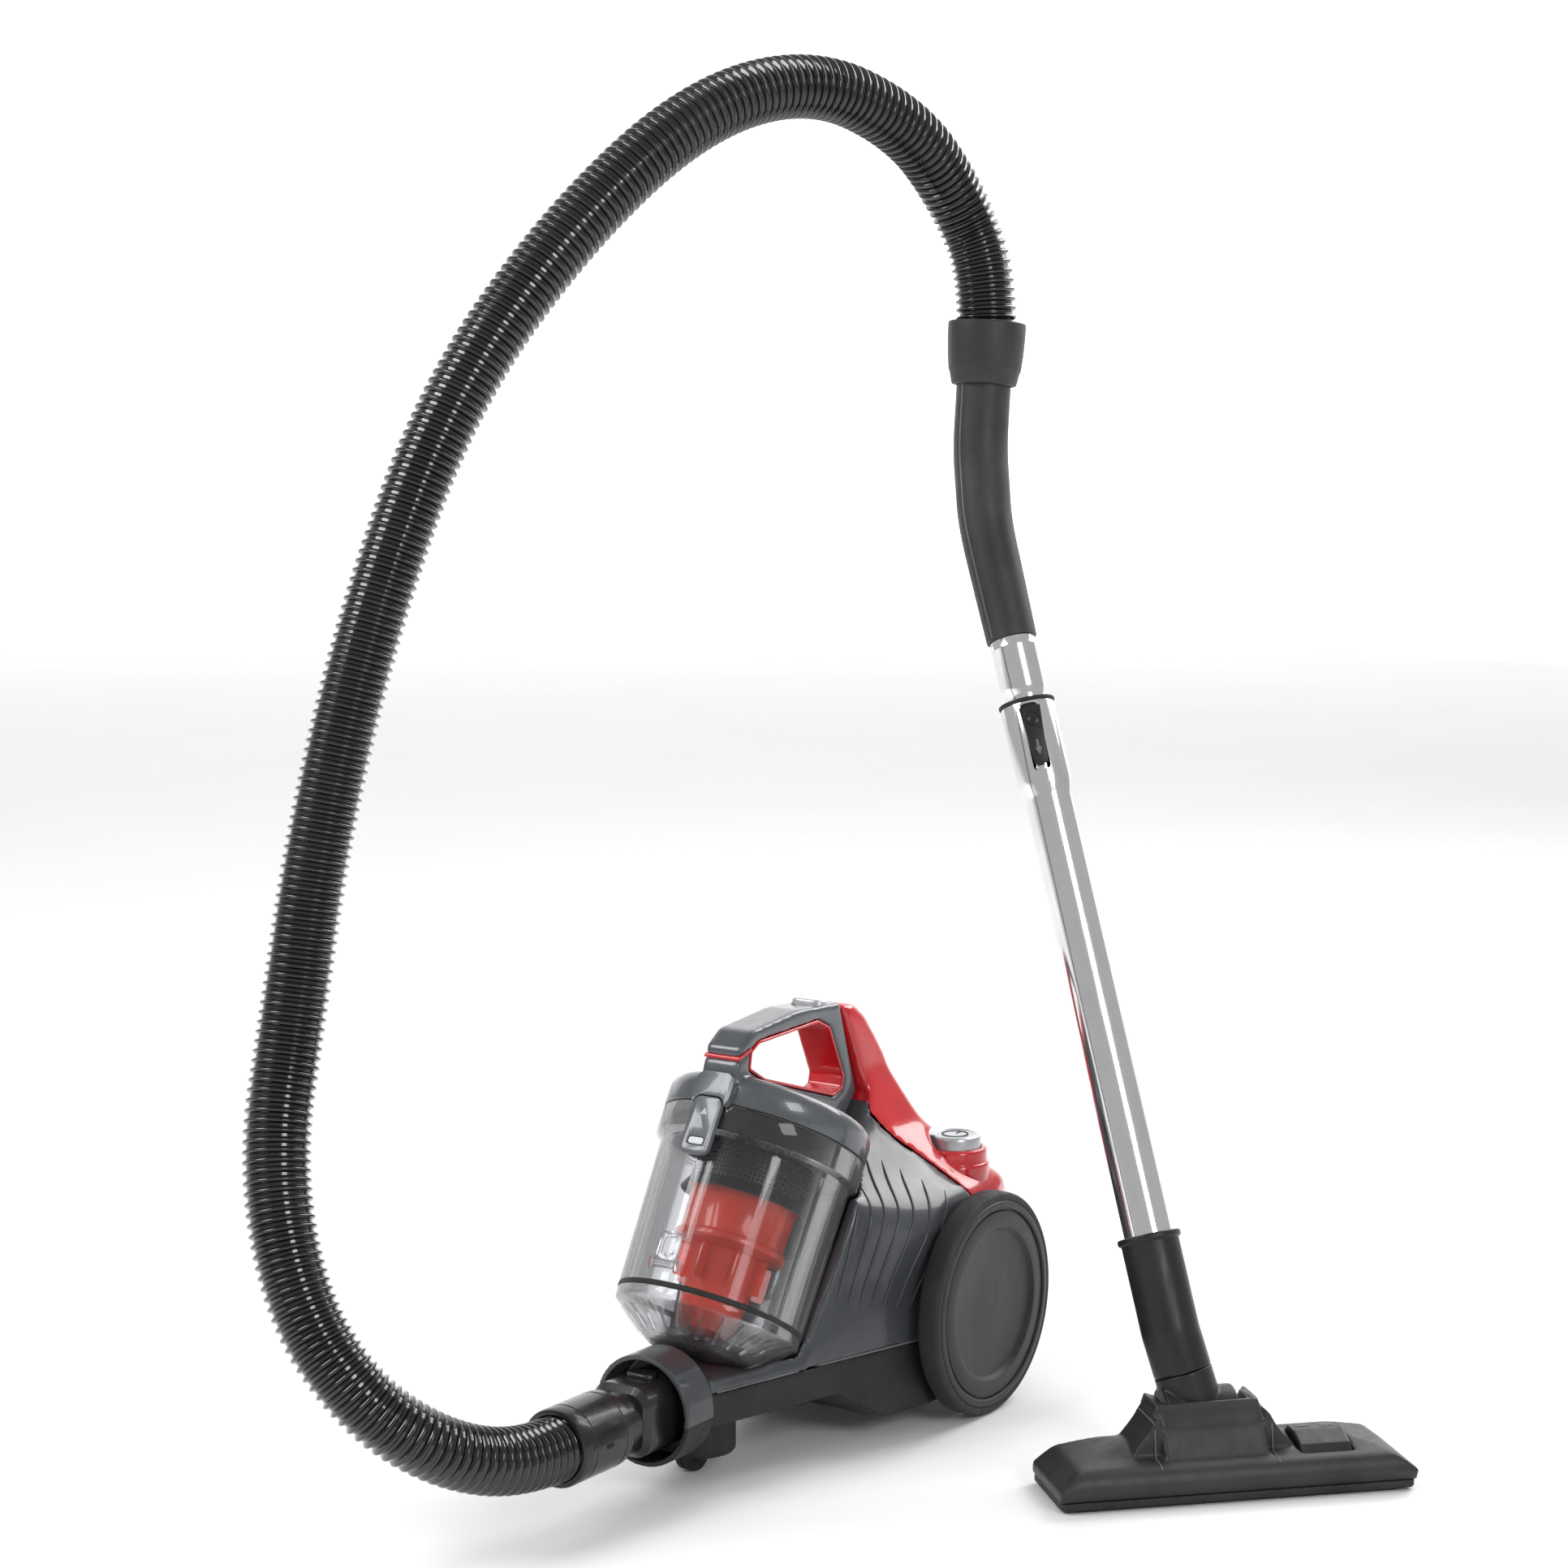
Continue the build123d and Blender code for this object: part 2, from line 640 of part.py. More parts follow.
def make_cup():
    """Clear cup, its emptying door, seals and the catch at the front."""
    wall = CUP_WALL
    cup = turned([
        (CUP_RADIUS, 4), (CUP_TOP_RADIUS, RIM_LOW - 3), (RIM_RADIUS, RIM_LOW), (RIM_RADIUS, CUP_HEIGHT),
        (RIM_RADIUS - wall, CUP_HEIGHT), (RIM_RADIUS - wall, RIM_LOW + 2),
        (CUP_TOP_RADIUS - wall, RIM_LOW - 1), (CUP_RADIUS - wall, 4),
    ])
    port = Plane(origin=(0, 20, PORT_HEIGHT), x_dir=(1, 0, 0), z_dir=(0, 1, 0))
    cup -= rod(DUCT_RADIUS - 4, 80, port)
    with BuildPart() as lugs:
        with BuildSketch(Plane(origin=(0, 0, 11), z_dir=(0, 0, 1))):
            with Locations((11, -CUP_RADIUS - 2), (-11, -CUP_RADIUS - 2)):
                Rectangle(3, 10)
        extrude(amount=9)
    cup += lugs.part - rod(CUP_RADIUS - 1, 40)
    cup += rod(1.5, 24, Plane(origin=(-12, -CUP_RADIUS - CATCH_OUT, 15.5), z_dir=(1, 0, 0)))
    save(cup, "dust_cup", CUP)
    save(ring(CUP_RADIUS, CUP_RADIUS - 4, 4), "door_seal", CUP)
    door = turned([
        (0, -HOPPER_DEPTH), (HOPPER_RADIUS, -HOPPER_DEPTH), (CUP_RADIUS, -8), (CUP_RADIUS, 0),
        (CUP_RADIUS - 4, 0), (CUP_RADIUS - 4, -7), (HOPPER_RADIUS - 2, -HOPPER_DEPTH + 2.5),
        (0, -HOPPER_DEPTH + 2.5),
    ])
    save(door, "bottom_door", CUP)
    with BuildPart() as catch:
        with BuildSketch(Plane(origin=(-9, -CUP_RADIUS - CATCH_OUT, 15.5), z_dir=(1, 0, 0))):
            Circle(3.2)
        extrude(amount=18)
        with BuildSketch(Plane.XY.offset(17)):
            with Locations((0, -CUP_RADIUS - CATCH_OUT)):
                Rectangle(18, 2.4)
        extrude(amount=22)
        with BuildSketch(Plane.XZ.offset(CUP_RADIUS)):
            with Locations((0, 31)):
                Rectangle(11, 10)
        extrude(amount=10, mode=Mode.SUBTRACT)
        with BuildSketch(Plane(origin=(-15, -CUP_RADIUS - CATCH_OUT, 15.5), z_dir=(1, 0, 0))):
            Circle(1.5 + RUNNING)
        extrude(amount=30, mode=Mode.SUBTRACT)
    save(catch.part, "door_catch", CUP)


def make_cyclone():
    """Inside the cup: perforated shroud, stepped cone and foam filter."""
    top = CUP_HEIGHT - 2
    with BuildPart() as shroud:
        with BuildSketch(Plane.XY.offset(top - 44)):
            Circle(44)
            Circle(42, mode=Mode.SUBTRACT)
        extrude(amount=40)
        with BuildSketch(Plane.XY.offset(top - 4)):
            Circle(RIM_RADIUS - CUP_WALL - 4)
            Circle(30, mode=Mode.SUBTRACT)
        extrude(amount=2)
        for row in range(4):
            for column in range(12):
                turn = 30 * column + 15 * (row % 2)
                hole = Plane(
                    origin=(0, 0, top - 36 + 8 * row),
                    z_dir=(cos(radians(turn)), sin(radians(turn)), 0),
                )
                with BuildSketch(hole):
                    Circle(2)
                extrude(amount=60, mode=Mode.SUBTRACT)
    save(shroud.part, "mesh_shroud", CUP)
    cone = turned([
        (46, top - 47), (46, top - 44), (42, top - 44), (26, top - 44), (26, top - 46), (43.5, top - 47),
        (36, 48), (24, 44), (22, 10), (20, -16), (22, -16), (24.5, 9), (26.5, 42), (38.5, 46),
    ])
    save(cone, "cyclone_cone", CUP)
    save(ring(38, 14, 26, Plane.XY.offset(top - 34)), "foam_filter", CUP)
    save(ring(RIM_RADIUS - CUP_WALL, RIM_RADIUS - CUP_WALL - 3.5, 5, Plane.XY.offset(CUP_HEIGHT - 5)),
         "lid_seal", CUP)


def handle_outline():
    """Side view of the carrying handle above the lid, in the canister's own YZ plane."""
    with BuildSketch(Plane.YZ) as side:
        with BuildLine():
            Polyline(
                (-207, 262), (-204, 290), (-197, 309), (-182, HANDLE_TOP - 5), (-120, HANDLE_TOP + 1),
                (-64.5, HANDLE_TOP - 2), (-40.5, 249), (-62, 226), (-150, 215), close=True,
            )
        make_face()
    return side.sketch


def opening_outline(grow):
    """The hand opening in the handle, grown by the liner's thickness."""
    with BuildSketch(Plane.YZ) as hole:
        with BuildLine():
            Polyline(
                (-184, 292), (-182, 303), (-173, 308), (-95, 311), (-80, 304), (-61, 264),
                (-63, 256), (-73, 253), (-165, 281), close=True,
            )
        make_face()
        offset(amount=grow, mode=Mode.REPLACE)
    return hole.sketch


def make_lid():
    """Dark lid with its carrying handle, red liner and band, front catch and release button."""
    low, high = CUP_HEIGHT, CUP_HEIGHT + LID_HEIGHT
    crown = turned([
        (0, low + 8), (RIM_RADIUS - 3, low + 8), (RIM_RADIUS - 3, low), (RIM_RADIUS, low),
        (RIM_RADIUS, high - 10), (RIM_RADIUS - 4, high - 3), (RIM_RADIUS - 12, high), (0, high + 3),
    ]).moved(CUP_PLANE.location)
    under_lid = turned([(0, -60), (RIM_RADIUS + 30, -60), (RIM_RADIUS + 30, low + 8), (0, low + 8)])
    with BuildPart() as lid:
        add(crown)
        extrude(handle_outline(), amount=HANDLE_HALF, both=True)
        add(under_lid.moved(CUP_PLANE.location), mode=Mode.SUBTRACT)
        with BuildSketch(CUP_PLANE.offset(low - 30)):
            Circle(RIM_RADIUS + 30)
            Circle(RIM_RADIUS, mode=Mode.SUBTRACT)
        extrude(amount=30 + 12, mode=Mode.SUBTRACT)
        extrude(opening_outline(2.5), amount=60, both=True, mode=Mode.SUBTRACT)
        with BuildSketch(Plane(origin=(0, BUTTON_Y, HANDLE_TOP + 6), z_dir=(0, 0.2, 1))):
            SlotOverall(30, 17)
        extrude(amount=-17, mode=Mode.SUBTRACT)
    band = Plane(origin=(0, -212, 296), x_dir=(1, 0, 0), z_dir=(0, -0.3, 1))
    with BuildPart() as slab:
        with BuildSketch(band):
            Rectangle(80, 60)
        extrude(amount=2.4)
    strip = lid.part & slab.part
    save(lid.part - slab.part, "cup_lid")
    save(strip, "handle_band")
    liner_ring = opening_outline(2.5)
    with BuildPart() as liner:
        extrude(liner_ring, amount=HANDLE_HALF, both=True)
        extrude(opening_outline(0), amount=60, both=True, mode=Mode.SUBTRACT)
    save(liner.part, "handle_liner")


def make_lid_trim():
    """Front catch on the lid and the silver release button on top of the handle."""
    with BuildPart() as catch:
        with BuildSketch(CATCH_PLANE.offset(FACE_GAP)):
            with Locations((0, CUP_HEIGHT - 20)):
                RectangleRounded(25, 44, 6)
        extrude(amount=5)
        fillet(catch.faces().sort_by(Axis.Y)[0].edges(), 1.5)
        with BuildSketch(CATCH_PLANE.offset(6 + FACE_GAP)):
            with Locations((0, CUP_HEIGHT - 33)):
                RectangleRounded(13, 5, 1)
        extrude(amount=-3, mode=Mode.SUBTRACT)
    save(catch.part, "lid_catch", CUP)
    with BuildPart() as button:
        with BuildSketch(Plane(origin=(0, BUTTON_Y, HANDLE_TOP + 6), z_dir=(0, 0.2, 1)).offset(-14)):
            SlotOverall(30 - 2 * FACE_GAP, 17 - 2 * FACE_GAP)
        extrude(amount=10)
        fillet(button.faces().sort_by(Axis.Z)[-1].edges(), 2)
    save(button.part, "release_button")


# ---------------------------------------------------------------- hose and its ends


def make_connector():
    """Hose connector in the collar, its release button, and the cuff that swivels on it."""
    start = Plane.XZ.offset(-NOSE_Y - 4)
    with BuildPart() as connector:
        with BuildSketch(start):
            with Locations((0, HOSE_AXIS_Z)):
                Circle(19.5)
        extrude(amount=12)
        with BuildSketch(start.offset(12)):
            with Locations((0, HOSE_AXIS_Z)):
                RectangleRounded(52, 52, 16)
        extrude(amount=52)
        chamfer(connector.faces().sort_by(Axis.Y)[0].edges(), 5)
        with BuildSketch(start.offset(64)):
            with Locations((0, HOSE_AXIS_Z)):
                Circle(22)
        extrude(amount=30)
        with BuildSketch(start.offset(-1)):
            with Locations((0, HOSE_AXIS_Z)):
                Circle(16)
        extrude(amount=120, mode=Mode.SUBTRACT)
        with BuildSketch(Plane(origin=(0, NOSE_Y - 32, HOSE_AXIS_Z + 21))):
            SlotOverall(24, 14)
        extrude(amount=10, mode=Mode.SUBTRACT)
    save(connector.part, "hose_connector")
    with BuildPart() as button:
        with BuildSketch(Plane(origin=(0, NOSE_Y - 32, HOSE_AXIS_Z + 23))):
            SlotOverall(24 - 2 * FACE_GAP, 14 - 2 * FACE_GAP)
        extrude(amount=6)
        fillet(button.faces().sort_by(Axis.Z)[-1].edges(), 2)
    save(button.part, "connector_button")
    cuff_start = Plane.XZ.offset(-CUFF_FRONT - CUFF_LENGTH)
    with BuildPart() as cuff:
        with BuildSketch(cuff_start):
            with Locations((0, HOSE_AXIS_Z)):
                Circle(CUFF_RADIUS)
        extrude(amount=CUFF_LENGTH)
        fillet(cuff.faces().sort_by(Axis.Y)[0].edges(), 2)
        with BuildSketch(cuff_start.offset(-1)):
            with Locations((0, HOSE_AXIS_Z)):
                Circle(22 + RUNNING)
        extrude(amount=CUFF_LENGTH - 10, mode=Mode.SUBTRACT)
        with BuildSketch(cuff_start.offset(CUFF_LENGTH - 10.5)):
            with Locations((0, HOSE_AXIS_Z)):
                Circle(HOSE_DIAMETER / 2 + FACE_GAP)
        extrude(amount=12, mode=Mode.SUBTRACT)
    save(cuff.part, "hose_cuff")


def hose_radii(points, share=0.45):
    """Bend radius at each corner: a share of the shorter run, over the tangent of the half turn."""
    radii = []
    corners = [Vector(*point) for point in points]
    for before, corner, after in zip(corners, corners[1:], corners[2:]):
        arriving, leaving = corner - before, after - corner
        half_turn = radians(arriving.get_angle(leaving) / 2)
        radii.append(share * min(arriving.length, leaving.length) / tan(half_turn))
    return radii


def make_hose():
    """The hose as a plain round tube along its hand-chosen route, already in the row's frame."""
    radii = hose_radii(HOSE_POINTS)
    print("hose bend radii", [round(radius) for radius in radii])
    hose = bent_tube(HOSE_POINTS, radii, HOSE_DIAMETER / 2, HOSE_DIAMETER / 2 - 3)
    print("hose volume", round(hose.volume))
    save(hose, "hose", Location())


# ---------------------------------------------------------------- handle grip and telescopic tube


def make_grip():
    """Bent handle grip that plugs into the inner tube, and the flared collar the hose turns in."""
    lean = Vector(*TUBE_LEAN).normalized()
    foot = Vector(*NECK_POINT) + lean * INNER_TUBE_TOP
    elbow_low = foot + lean * 95
    top = Vector(HOSE_POINTS[-1][0] + ROW_X, HOSE_POINTS[-1][1] + ROW_Y, HOSE_POINTS[-1][2])
    entry = Vector(*HOSE_POINTS[-2]) - Vector(*HOSE_POINTS[-1])
    entry = entry.normalized()
    crest = top - entry * FACE_GAP
    grip = bent_tube([foot, elbow_low, crest - entry * 70, crest], [300, 260], GRIP_RADIUS, GRIP_RADIUS - 4)
    save(grip, "handle_grip")
    place = ROW * Plane(origin=crest, z_dir=entry).location
    collar = turned([
        (GRIP_RADIUS + RUNNING, -22), (25, -22), (28, -8), (29.5, 12), (30, 26), (27.5, 26), (26.5, 12),
        (24.2, 3), (24.2, -0.5), (GRIP_RADIUS + RUNNING, -0.5),
    ])
    save(collar, "grip_collar", place)


def make_tube():
    """Chromed telescopic tube in two lengths, its lock and the collar ring, along local Z."""
    inner_low = 60.0
    bell = turned([
        (INNER_TUBE_RADIUS - TUBE_WALL, inner_low), (INNER_TUBE_RADIUS, inner_low),
        (INNER_TUBE_RADIUS, INNER_TUBE_TOP - 46), (INNER_TUBE_RADIUS + 2.2, INNER_TUBE_TOP - 40),
        (INNER_TUBE_RADIUS + 2.2, INNER_TUBE_TOP - 2 * FACE_GAP), (INNER_TUBE_RADIUS + 1.2, INNER_TUBE_TOP - 2 * FACE_GAP),
        (INNER_TUBE_RADIUS + 1.2, INNER_TUBE_TOP - 39.5), (INNER_TUBE_RADIUS - TUBE_WALL, INNER_TUBE_TOP - 45.5),
    ])
    save(bell, "inner_tube", TUBE)
    top = OUTER_TUBE_TOP
    low = 4.0
    slot = Plane(origin=(0, 0, top - 62), x_dir=(0, 1, 0), z_dir=(1, 0, 0))
    outer = turned([
        (OUTER_TUBE_RADIUS - TUBE_WALL, low), (OUTER_TUBE_RADIUS, low), (OUTER_TUBE_RADIUS, top - 72),
        (OUTER_TUBE_RADIUS + 2.5, top - 62), (OUTER_TUBE_RADIUS + 2.5, top), (OUTER_TUBE_RADIUS + 1.5, top),
        (OUTER_TUBE_RADIUS + 1.5, top - 61.5), (OUTER_TUBE_RADIUS - TUBE_WALL, top - 71.5),
    ])
    with BuildPart() as window:
        with BuildSketch(slot):
            with Locations((0, 34)):
                Rectangle(13, 52)
        extrude(amount=30)
    save(outer - window.part, "outer_tube", TUBE)
    save(turned([
        (INNER_TUBE_RADIUS + RUNNING, top - 6), (OUTER_TUBE_RADIUS + 1.5, top - 6), (OUTER_TUBE_RADIUS + 1.5, top),
        (OUTER_TUBE_RADIUS + 3.5, top), (OUTER_TUBE_RADIUS + 3.5, top + 3), (INNER_TUBE_RADIUS + RUNNING, top + 3),
    ]), "tube_ring", TUBE)
    with BuildPart() as lock:
        with BuildSketch(slot.offset(OUTER_TUBE_RADIUS + 2.8)):
            with BuildLine():
                Polyline((-5, 12), (5, 12), (8, 56), (-8, 56), close=True)
            make_face()
        extrude(amount=5)
        fillet(lock.edges().filter_by(lambda edge: edge.center().X > OUTER_TUBE_RADIUS + 7), 1.2)
        with BuildSketch(slot.offset(INNER_TUBE_RADIUS + 1)):
            with Locations((0, 31)):
                Rectangle(9, 34)
        extrude(amount=OUTER_TUBE_RADIUS + 2.8 - INNER_TUBE_RADIUS - 1)
        with BuildSketch(slot.offset(OUTER_TUBE_RADIUS + 12)):
            with Locations((0, 46)):
                Circle(5)
        extrude(amount=-6, mode=Mode.SUBTRACT)
    save(lock.part, "tube_lock", TUBE)


def head_to_canister(point):
    """A point given about the middle of the sole, carried into the canister's frame."""
    return Vector(*(Location((HEAD_X, HEAD_Y, 0), (0, 0, HEAD_YAW)) * Pos(*point)).position)


def make_neck():
    """Neck that holds the tube, and the elbow it turns on, both hollow for the air."""
    lean = Vector(*TUBE_LEAN).normalized()
    bend = Vector(*NECK_POINT)
    pivot = head_to_canister(ELBOW_PIVOT)
    up = (bend - pivot).normalized()
    seam = pivot + up * ELBOW_LENGTH
    neck = bent_tube(
        [seam, bend, bend + lean * NECK_RIM], [40], NECK_RADIUS + 1.5, NECK_RADIUS - 4,
    )
    socket = Plane(origin=bend + lean * 3.5, z_dir=lean)
    neck -= rod(OUTER_TUBE_RADIUS, NECK_RIM, socket)
    neck += ring(NECK_RADIUS + 3, OUTER_TUBE_RADIUS, 3, Plane(origin=bend + lean * (NECK_RIM - 3), z_dir=lean))
    save(neck, "neck")
    side = Plane(origin=pivot, z_dir=up)
    across = Vector(cos(radians(HEAD_YAW)), sin(radians(HEAD_YAW)), 0)
    barrel_plane = Plane(origin=pivot - across * BARREL_HALF, z_dir=across)
    with BuildPart() as elbow:
        add(rod(BARREL_RADIUS, 2 * BARREL_HALF, barrel_plane))
        add(rod(ELBOW_RADIUS, ELBOW_LENGTH - FACE_GAP, side))
        add(rod(NECK_RADIUS - 6, 40, side), mode=Mode.SUBTRACT)
        add(rod(NECK_RADIUS - 6, 40, Plane(origin=pivot, z_dir=(0, 0, -1))), mode=Mode.SUBTRACT)
    bore = Plane(origin=pivot - across * 60, z_dir=across)
    save(elbow.part - rod(4 + RUNNING, 120, bore), "elbow")


def make_head():
    """Floor head about the middle of its sole: cover, sole plate, brushes, pedal and rollers."""
    half, depth = HEAD_WIDTH / 2, HEAD_DEPTH / 2
    with BuildPart() as cover:
        with BuildSketch(Plane.YZ):
            with BuildLine():
                Polyline((-depth, SOLE_THICK), (depth, SOLE_THICK), (depth, 22))
                Spline((depth, 22), (12, HEAD_HEIGHT + 2), (-22, HEAD_HEIGHT - 4), (-depth - 5, 16),
                       tangents=((-0.2, 1), (-0.2, -1)))
                Line((-depth - 5, 16), (-depth, SOLE_THICK))
            make_face()
        extrude(amount=half, both=True)
        with BuildSketch(Plane.XZ):
            with BuildLine():
                Polyline(
                    (-half, SOLE_THICK), (half, SOLE_THICK), (half, 16), (half - 16, 28), (70, HEAD_HEIGHT + 4),
                    (-70, HEAD_HEIGHT + 4), (-half + 16, 28), (-half, 16), close=True,
                )
            make_face()
        extrude(amount=100, both=True, mode=Mode.INTERSECT)
        with BuildSketch(Plane.YZ.offset(ELBOW_PIVOT[0])):
            with BuildLine():
                Polyline(
                    (depth, SOLE_THICK), (depth, 56), (24, 70), (8, 69), (-16, 50), (-depth + 4, 24),
                    (-depth + 4, SOLE_THICK), close=True,
                )
            make_face()
        extrude(amount=BARREL_HALF + 12, both=True)
        with BuildSketch(Plane.YZ.offset(ELBOW_PIVOT[0])):
            with Locations((ELBOW_PIVOT[1], ELBOW_PIVOT[2])):
                Circle(BARREL_RADIUS + 2)
        extrude(amount=BARREL_HALF + 1, both=True, mode=Mode.SUBTRACT)
        with BuildSketch(Plane.YZ.offset(ELBOW_PIVOT[0])):
            with BuildLine():
                Polyline((2, 44), (-8, 90), (80, 90), (80, 30), (44, 22), close=True)
            make_face()
        extrude(amount=BARREL_HALF + 9, both=True, mode=Mode.SUBTRACT)
        with BuildSketch(Plane.XY.offset(SOLE_THICK - 1)):
            Rectangle(HEAD_WIDTH - 8, HEAD_DEPTH - 8)
        extrude(amount=15, mode=Mode.SUBTRACT)
        with BuildSketch(Plane(origin=(ROCKER_OFFSET, -6, HEAD_HEIGHT - 14))):
            Rectangle(40, 38)
        extrude(amount=40, mode=Mode.SUBTRACT)
        with BuildSketch(Plane.YZ.offset(ELBOW_PIVOT[0] - BARREL_HALF - 9)):
            with Locations((ELBOW_PIVOT[1], ELBOW_PIVOT[2])):
                Circle(4)
        extrude(amount=2 * BARREL_HALF + 18, mode=Mode.SUBTRACT)
    save(cover.part, "head_cover", HEAD)
    pin_start = (ELBOW_PIVOT[0] - BARREL_HALF - 9, ELBOW_PIVOT[1], ELBOW_PIVOT[2])
    pin_plane = Plane(origin=pin_start, x_dir=(0, 1, 0), z_dir=(1, 0, 0))
    save(rod(4, 2 * BARREL_HALF + 18, pin_plane), "elbow_pin", HEAD)
    with BuildPart() as sole:
        with BuildSketch(Plane.XY.offset(2)):
            RectangleRounded(HEAD_WIDTH - 4, HEAD_DEPTH, 4)
        extrude(amount=SOLE_THICK - 2)
        with BuildSketch(Plane.XY.offset(1)):
            Rectangle(HEAD_WIDTH - 40, 16)
            with Locations((0, -24), (0, 24)):
                Rectangle(HEAD_WIDTH - 16, 6)
            with Locations((-100, 13), (100, 13)):
                Rectangle(16, 8)
        extrude(amount=20, mode=Mode.SUBTRACT)
        with BuildSketch(Plane.XY.offset(0)):
            with Locations((0, -31), (0, 31)):
                Rectangle(HEAD_WIDTH - 30, 4)
        extrude(amount=2)
    save(sole.part, "head_sole", HEAD)


def make_head_works():
    """Brush strips on their carrier, the rocker pedal that drops them, and the floor rollers."""
    with BuildPart() as brushes:
        for place in (-24, 24):
            with BuildSketch(Plane.XY.offset(3)):
                with Locations((0, place)):
                    Rectangle(HEAD_WIDTH - 18, 4)
            extrude(amount=8)
        with BuildSketch(Plane.XY.offset(11)):
            with Locations((0, 0)):
                Rectangle(HEAD_WIDTH - 18, 52)
                Rectangle(HEAD_WIDTH - 40, 40, mode=Mode.SUBTRACT)
        extrude(amount=2)
    save(brushes.part, "brush_carrier", HEAD)
    with BuildPart() as pedal:
        with BuildSketch(Plane.YZ.offset(ROCKER_OFFSET)):
            with BuildLine():
                Polyline((-24, 24), (-24, 27), (-18, HEAD_HEIGHT - 1), (-3, HEAD_HEIGHT + 5), (10, HEAD_HEIGHT + 5),
                         (12, 24), close=True)
            make_face()
        extrude(amount=19, both=True)
    save(pedal.part, "head_pedal", HEAD)
    for name, place in (("left_roller", 100), ("right_roller", -100)):
        plane = Plane(origin=(place - 6, 13, 4.5), x_dir=(0, 1, 0), z_dir=(1, 0, 0))
        save(rod(3.5, 12, plane), name, HEAD)


os.makedirs("parts", exist_ok=True)
make_body()
make_collar()
make_inlet_duct()
make_motor()
make_reel()
make_filter_and_board()
make_pedals()
make_wheels()
make_caster()
make_outlet_duct()
make_cup()
make_cyclone()
make_lid()
make_lid_trim()
make_connector()
make_hose()
make_grip()
make_tube()
make_neck()
make_head()
make_head_works()
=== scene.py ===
"""Looks of a canister vacuum cleaner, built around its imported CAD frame."""
import logging
from dataclasses import dataclass
from enum import Enum
from math import cos, hypot, pi, radians, sin
from typing import Callable, Optional, Sequence

import bpy
from mathutils import Matrix, Vector


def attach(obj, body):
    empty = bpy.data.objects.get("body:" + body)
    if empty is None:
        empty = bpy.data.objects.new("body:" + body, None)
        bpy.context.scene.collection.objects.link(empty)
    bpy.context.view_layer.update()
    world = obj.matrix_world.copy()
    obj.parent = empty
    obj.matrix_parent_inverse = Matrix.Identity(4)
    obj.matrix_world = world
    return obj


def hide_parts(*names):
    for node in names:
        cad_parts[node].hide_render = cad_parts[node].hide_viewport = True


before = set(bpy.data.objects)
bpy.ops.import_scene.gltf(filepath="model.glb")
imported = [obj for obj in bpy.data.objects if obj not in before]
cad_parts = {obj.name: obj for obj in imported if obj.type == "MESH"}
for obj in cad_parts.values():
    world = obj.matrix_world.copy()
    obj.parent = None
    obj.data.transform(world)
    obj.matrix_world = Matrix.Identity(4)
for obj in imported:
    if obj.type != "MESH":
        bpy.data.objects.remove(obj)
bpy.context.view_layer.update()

LOG = logging.getLogger("vacuum")
MM = 0.001
FAR = 99.0

Pair = tuple[float, float]
Point = tuple[float, float, float]
Colour = tuple[float, float, float]
Piece = bpy.types.Object


def frame_at(origin: Point, along: Point = (0, 0, 1), across: Point = (1, 0, 0)) -> Matrix:
    """Place a local frame by its origin, its Z direction and roughly its X direction.

    Args:
        origin: Where the frame stands, in millimetres.
        along: The direction its Z axis takes.
        across: A direction near its X axis.

    Returns:
        The frame as a matrix in metres.
    """
    z_axis = Vector(along).normalized()
    x_axis = (Vector(across) - z_axis * z_axis.dot(Vector(across))).normalized()
    y_axis = z_axis.cross(x_axis)
    turn = Matrix((x_axis, y_axis, z_axis)).transposed().to_4x4()
    return Matrix.Translation(Vector(origin) * MM) @ turn


CANISTER = frame_at((-172.8, 151.5, 0))
CUP_LEAN = radians(31)
CUP = CANISTER @ frame_at((0, -217, 111), (0, sin(CUP_LEAN), cos(CUP_LEAN)))
NOSE = CANISTER @ frame_at((0, -268, 60), (0, -1, 0))
HEAD_YAW = radians(45.9)
HEAD = CANISTER @ frame_at((339.9, -52.9, 0), (0, 0, 1), (cos(HEAD_YAW), sin(HEAD_YAW), 0))
NECK_POINT = (292.7, -48.4, 106.1)
TUBE_LEAN = (-0.3474, 0.1506, 0.9256)
TUBE = CANISTER @ frame_at(NECK_POINT, TUBE_LEAN, (0.5, -0.85, 0.3258))
HOSE_POINTS = [
    (-172.8, -240.5, 60), (-172.8, -288.5, 59), (-192.8, -348.5, 80), (-227.8, -388.5, 120),
    (-272.8, -398.5, 180), (-307.8, -383.5, 270), (-317.8, -348.5, 365), (-317.8, -318.5, 490),
    (-307.8, -273.5, 635), (-287.8, -213.5, 780), (-247.8, -133.5, 895), (-202.8, -38.5, 985),
    (-167.8, 61.5, 1015), (-137.8, 146.5, 985), (-127.8, 201.5, 935), (-107.8, 219.5, 872),
    (-107.8, 213.5, 812),
]
HOSE_END = frame_at((-107.8, 213.5, 812), (0, 6, 60))
COVER_EDGE = ((-39, 249), (-47, 236), (-28, 212), (-4, 190), (14, 160), (130, 148))
RIBS = (
    ((-161, 118), (-110, 209)), ((-151, 115), (-100, 226)), ((-140, 111), (-88, 221)),
    ((-129, 108), (-76, 213)), ((-118, 105), (-63, 204)), ((-107, 102), (-49, 195)),
    ((-93, 100), (-34, 185)), ((-79, 99), (-19, 175)),
)


# ---------------------------------------------------------------- finishes


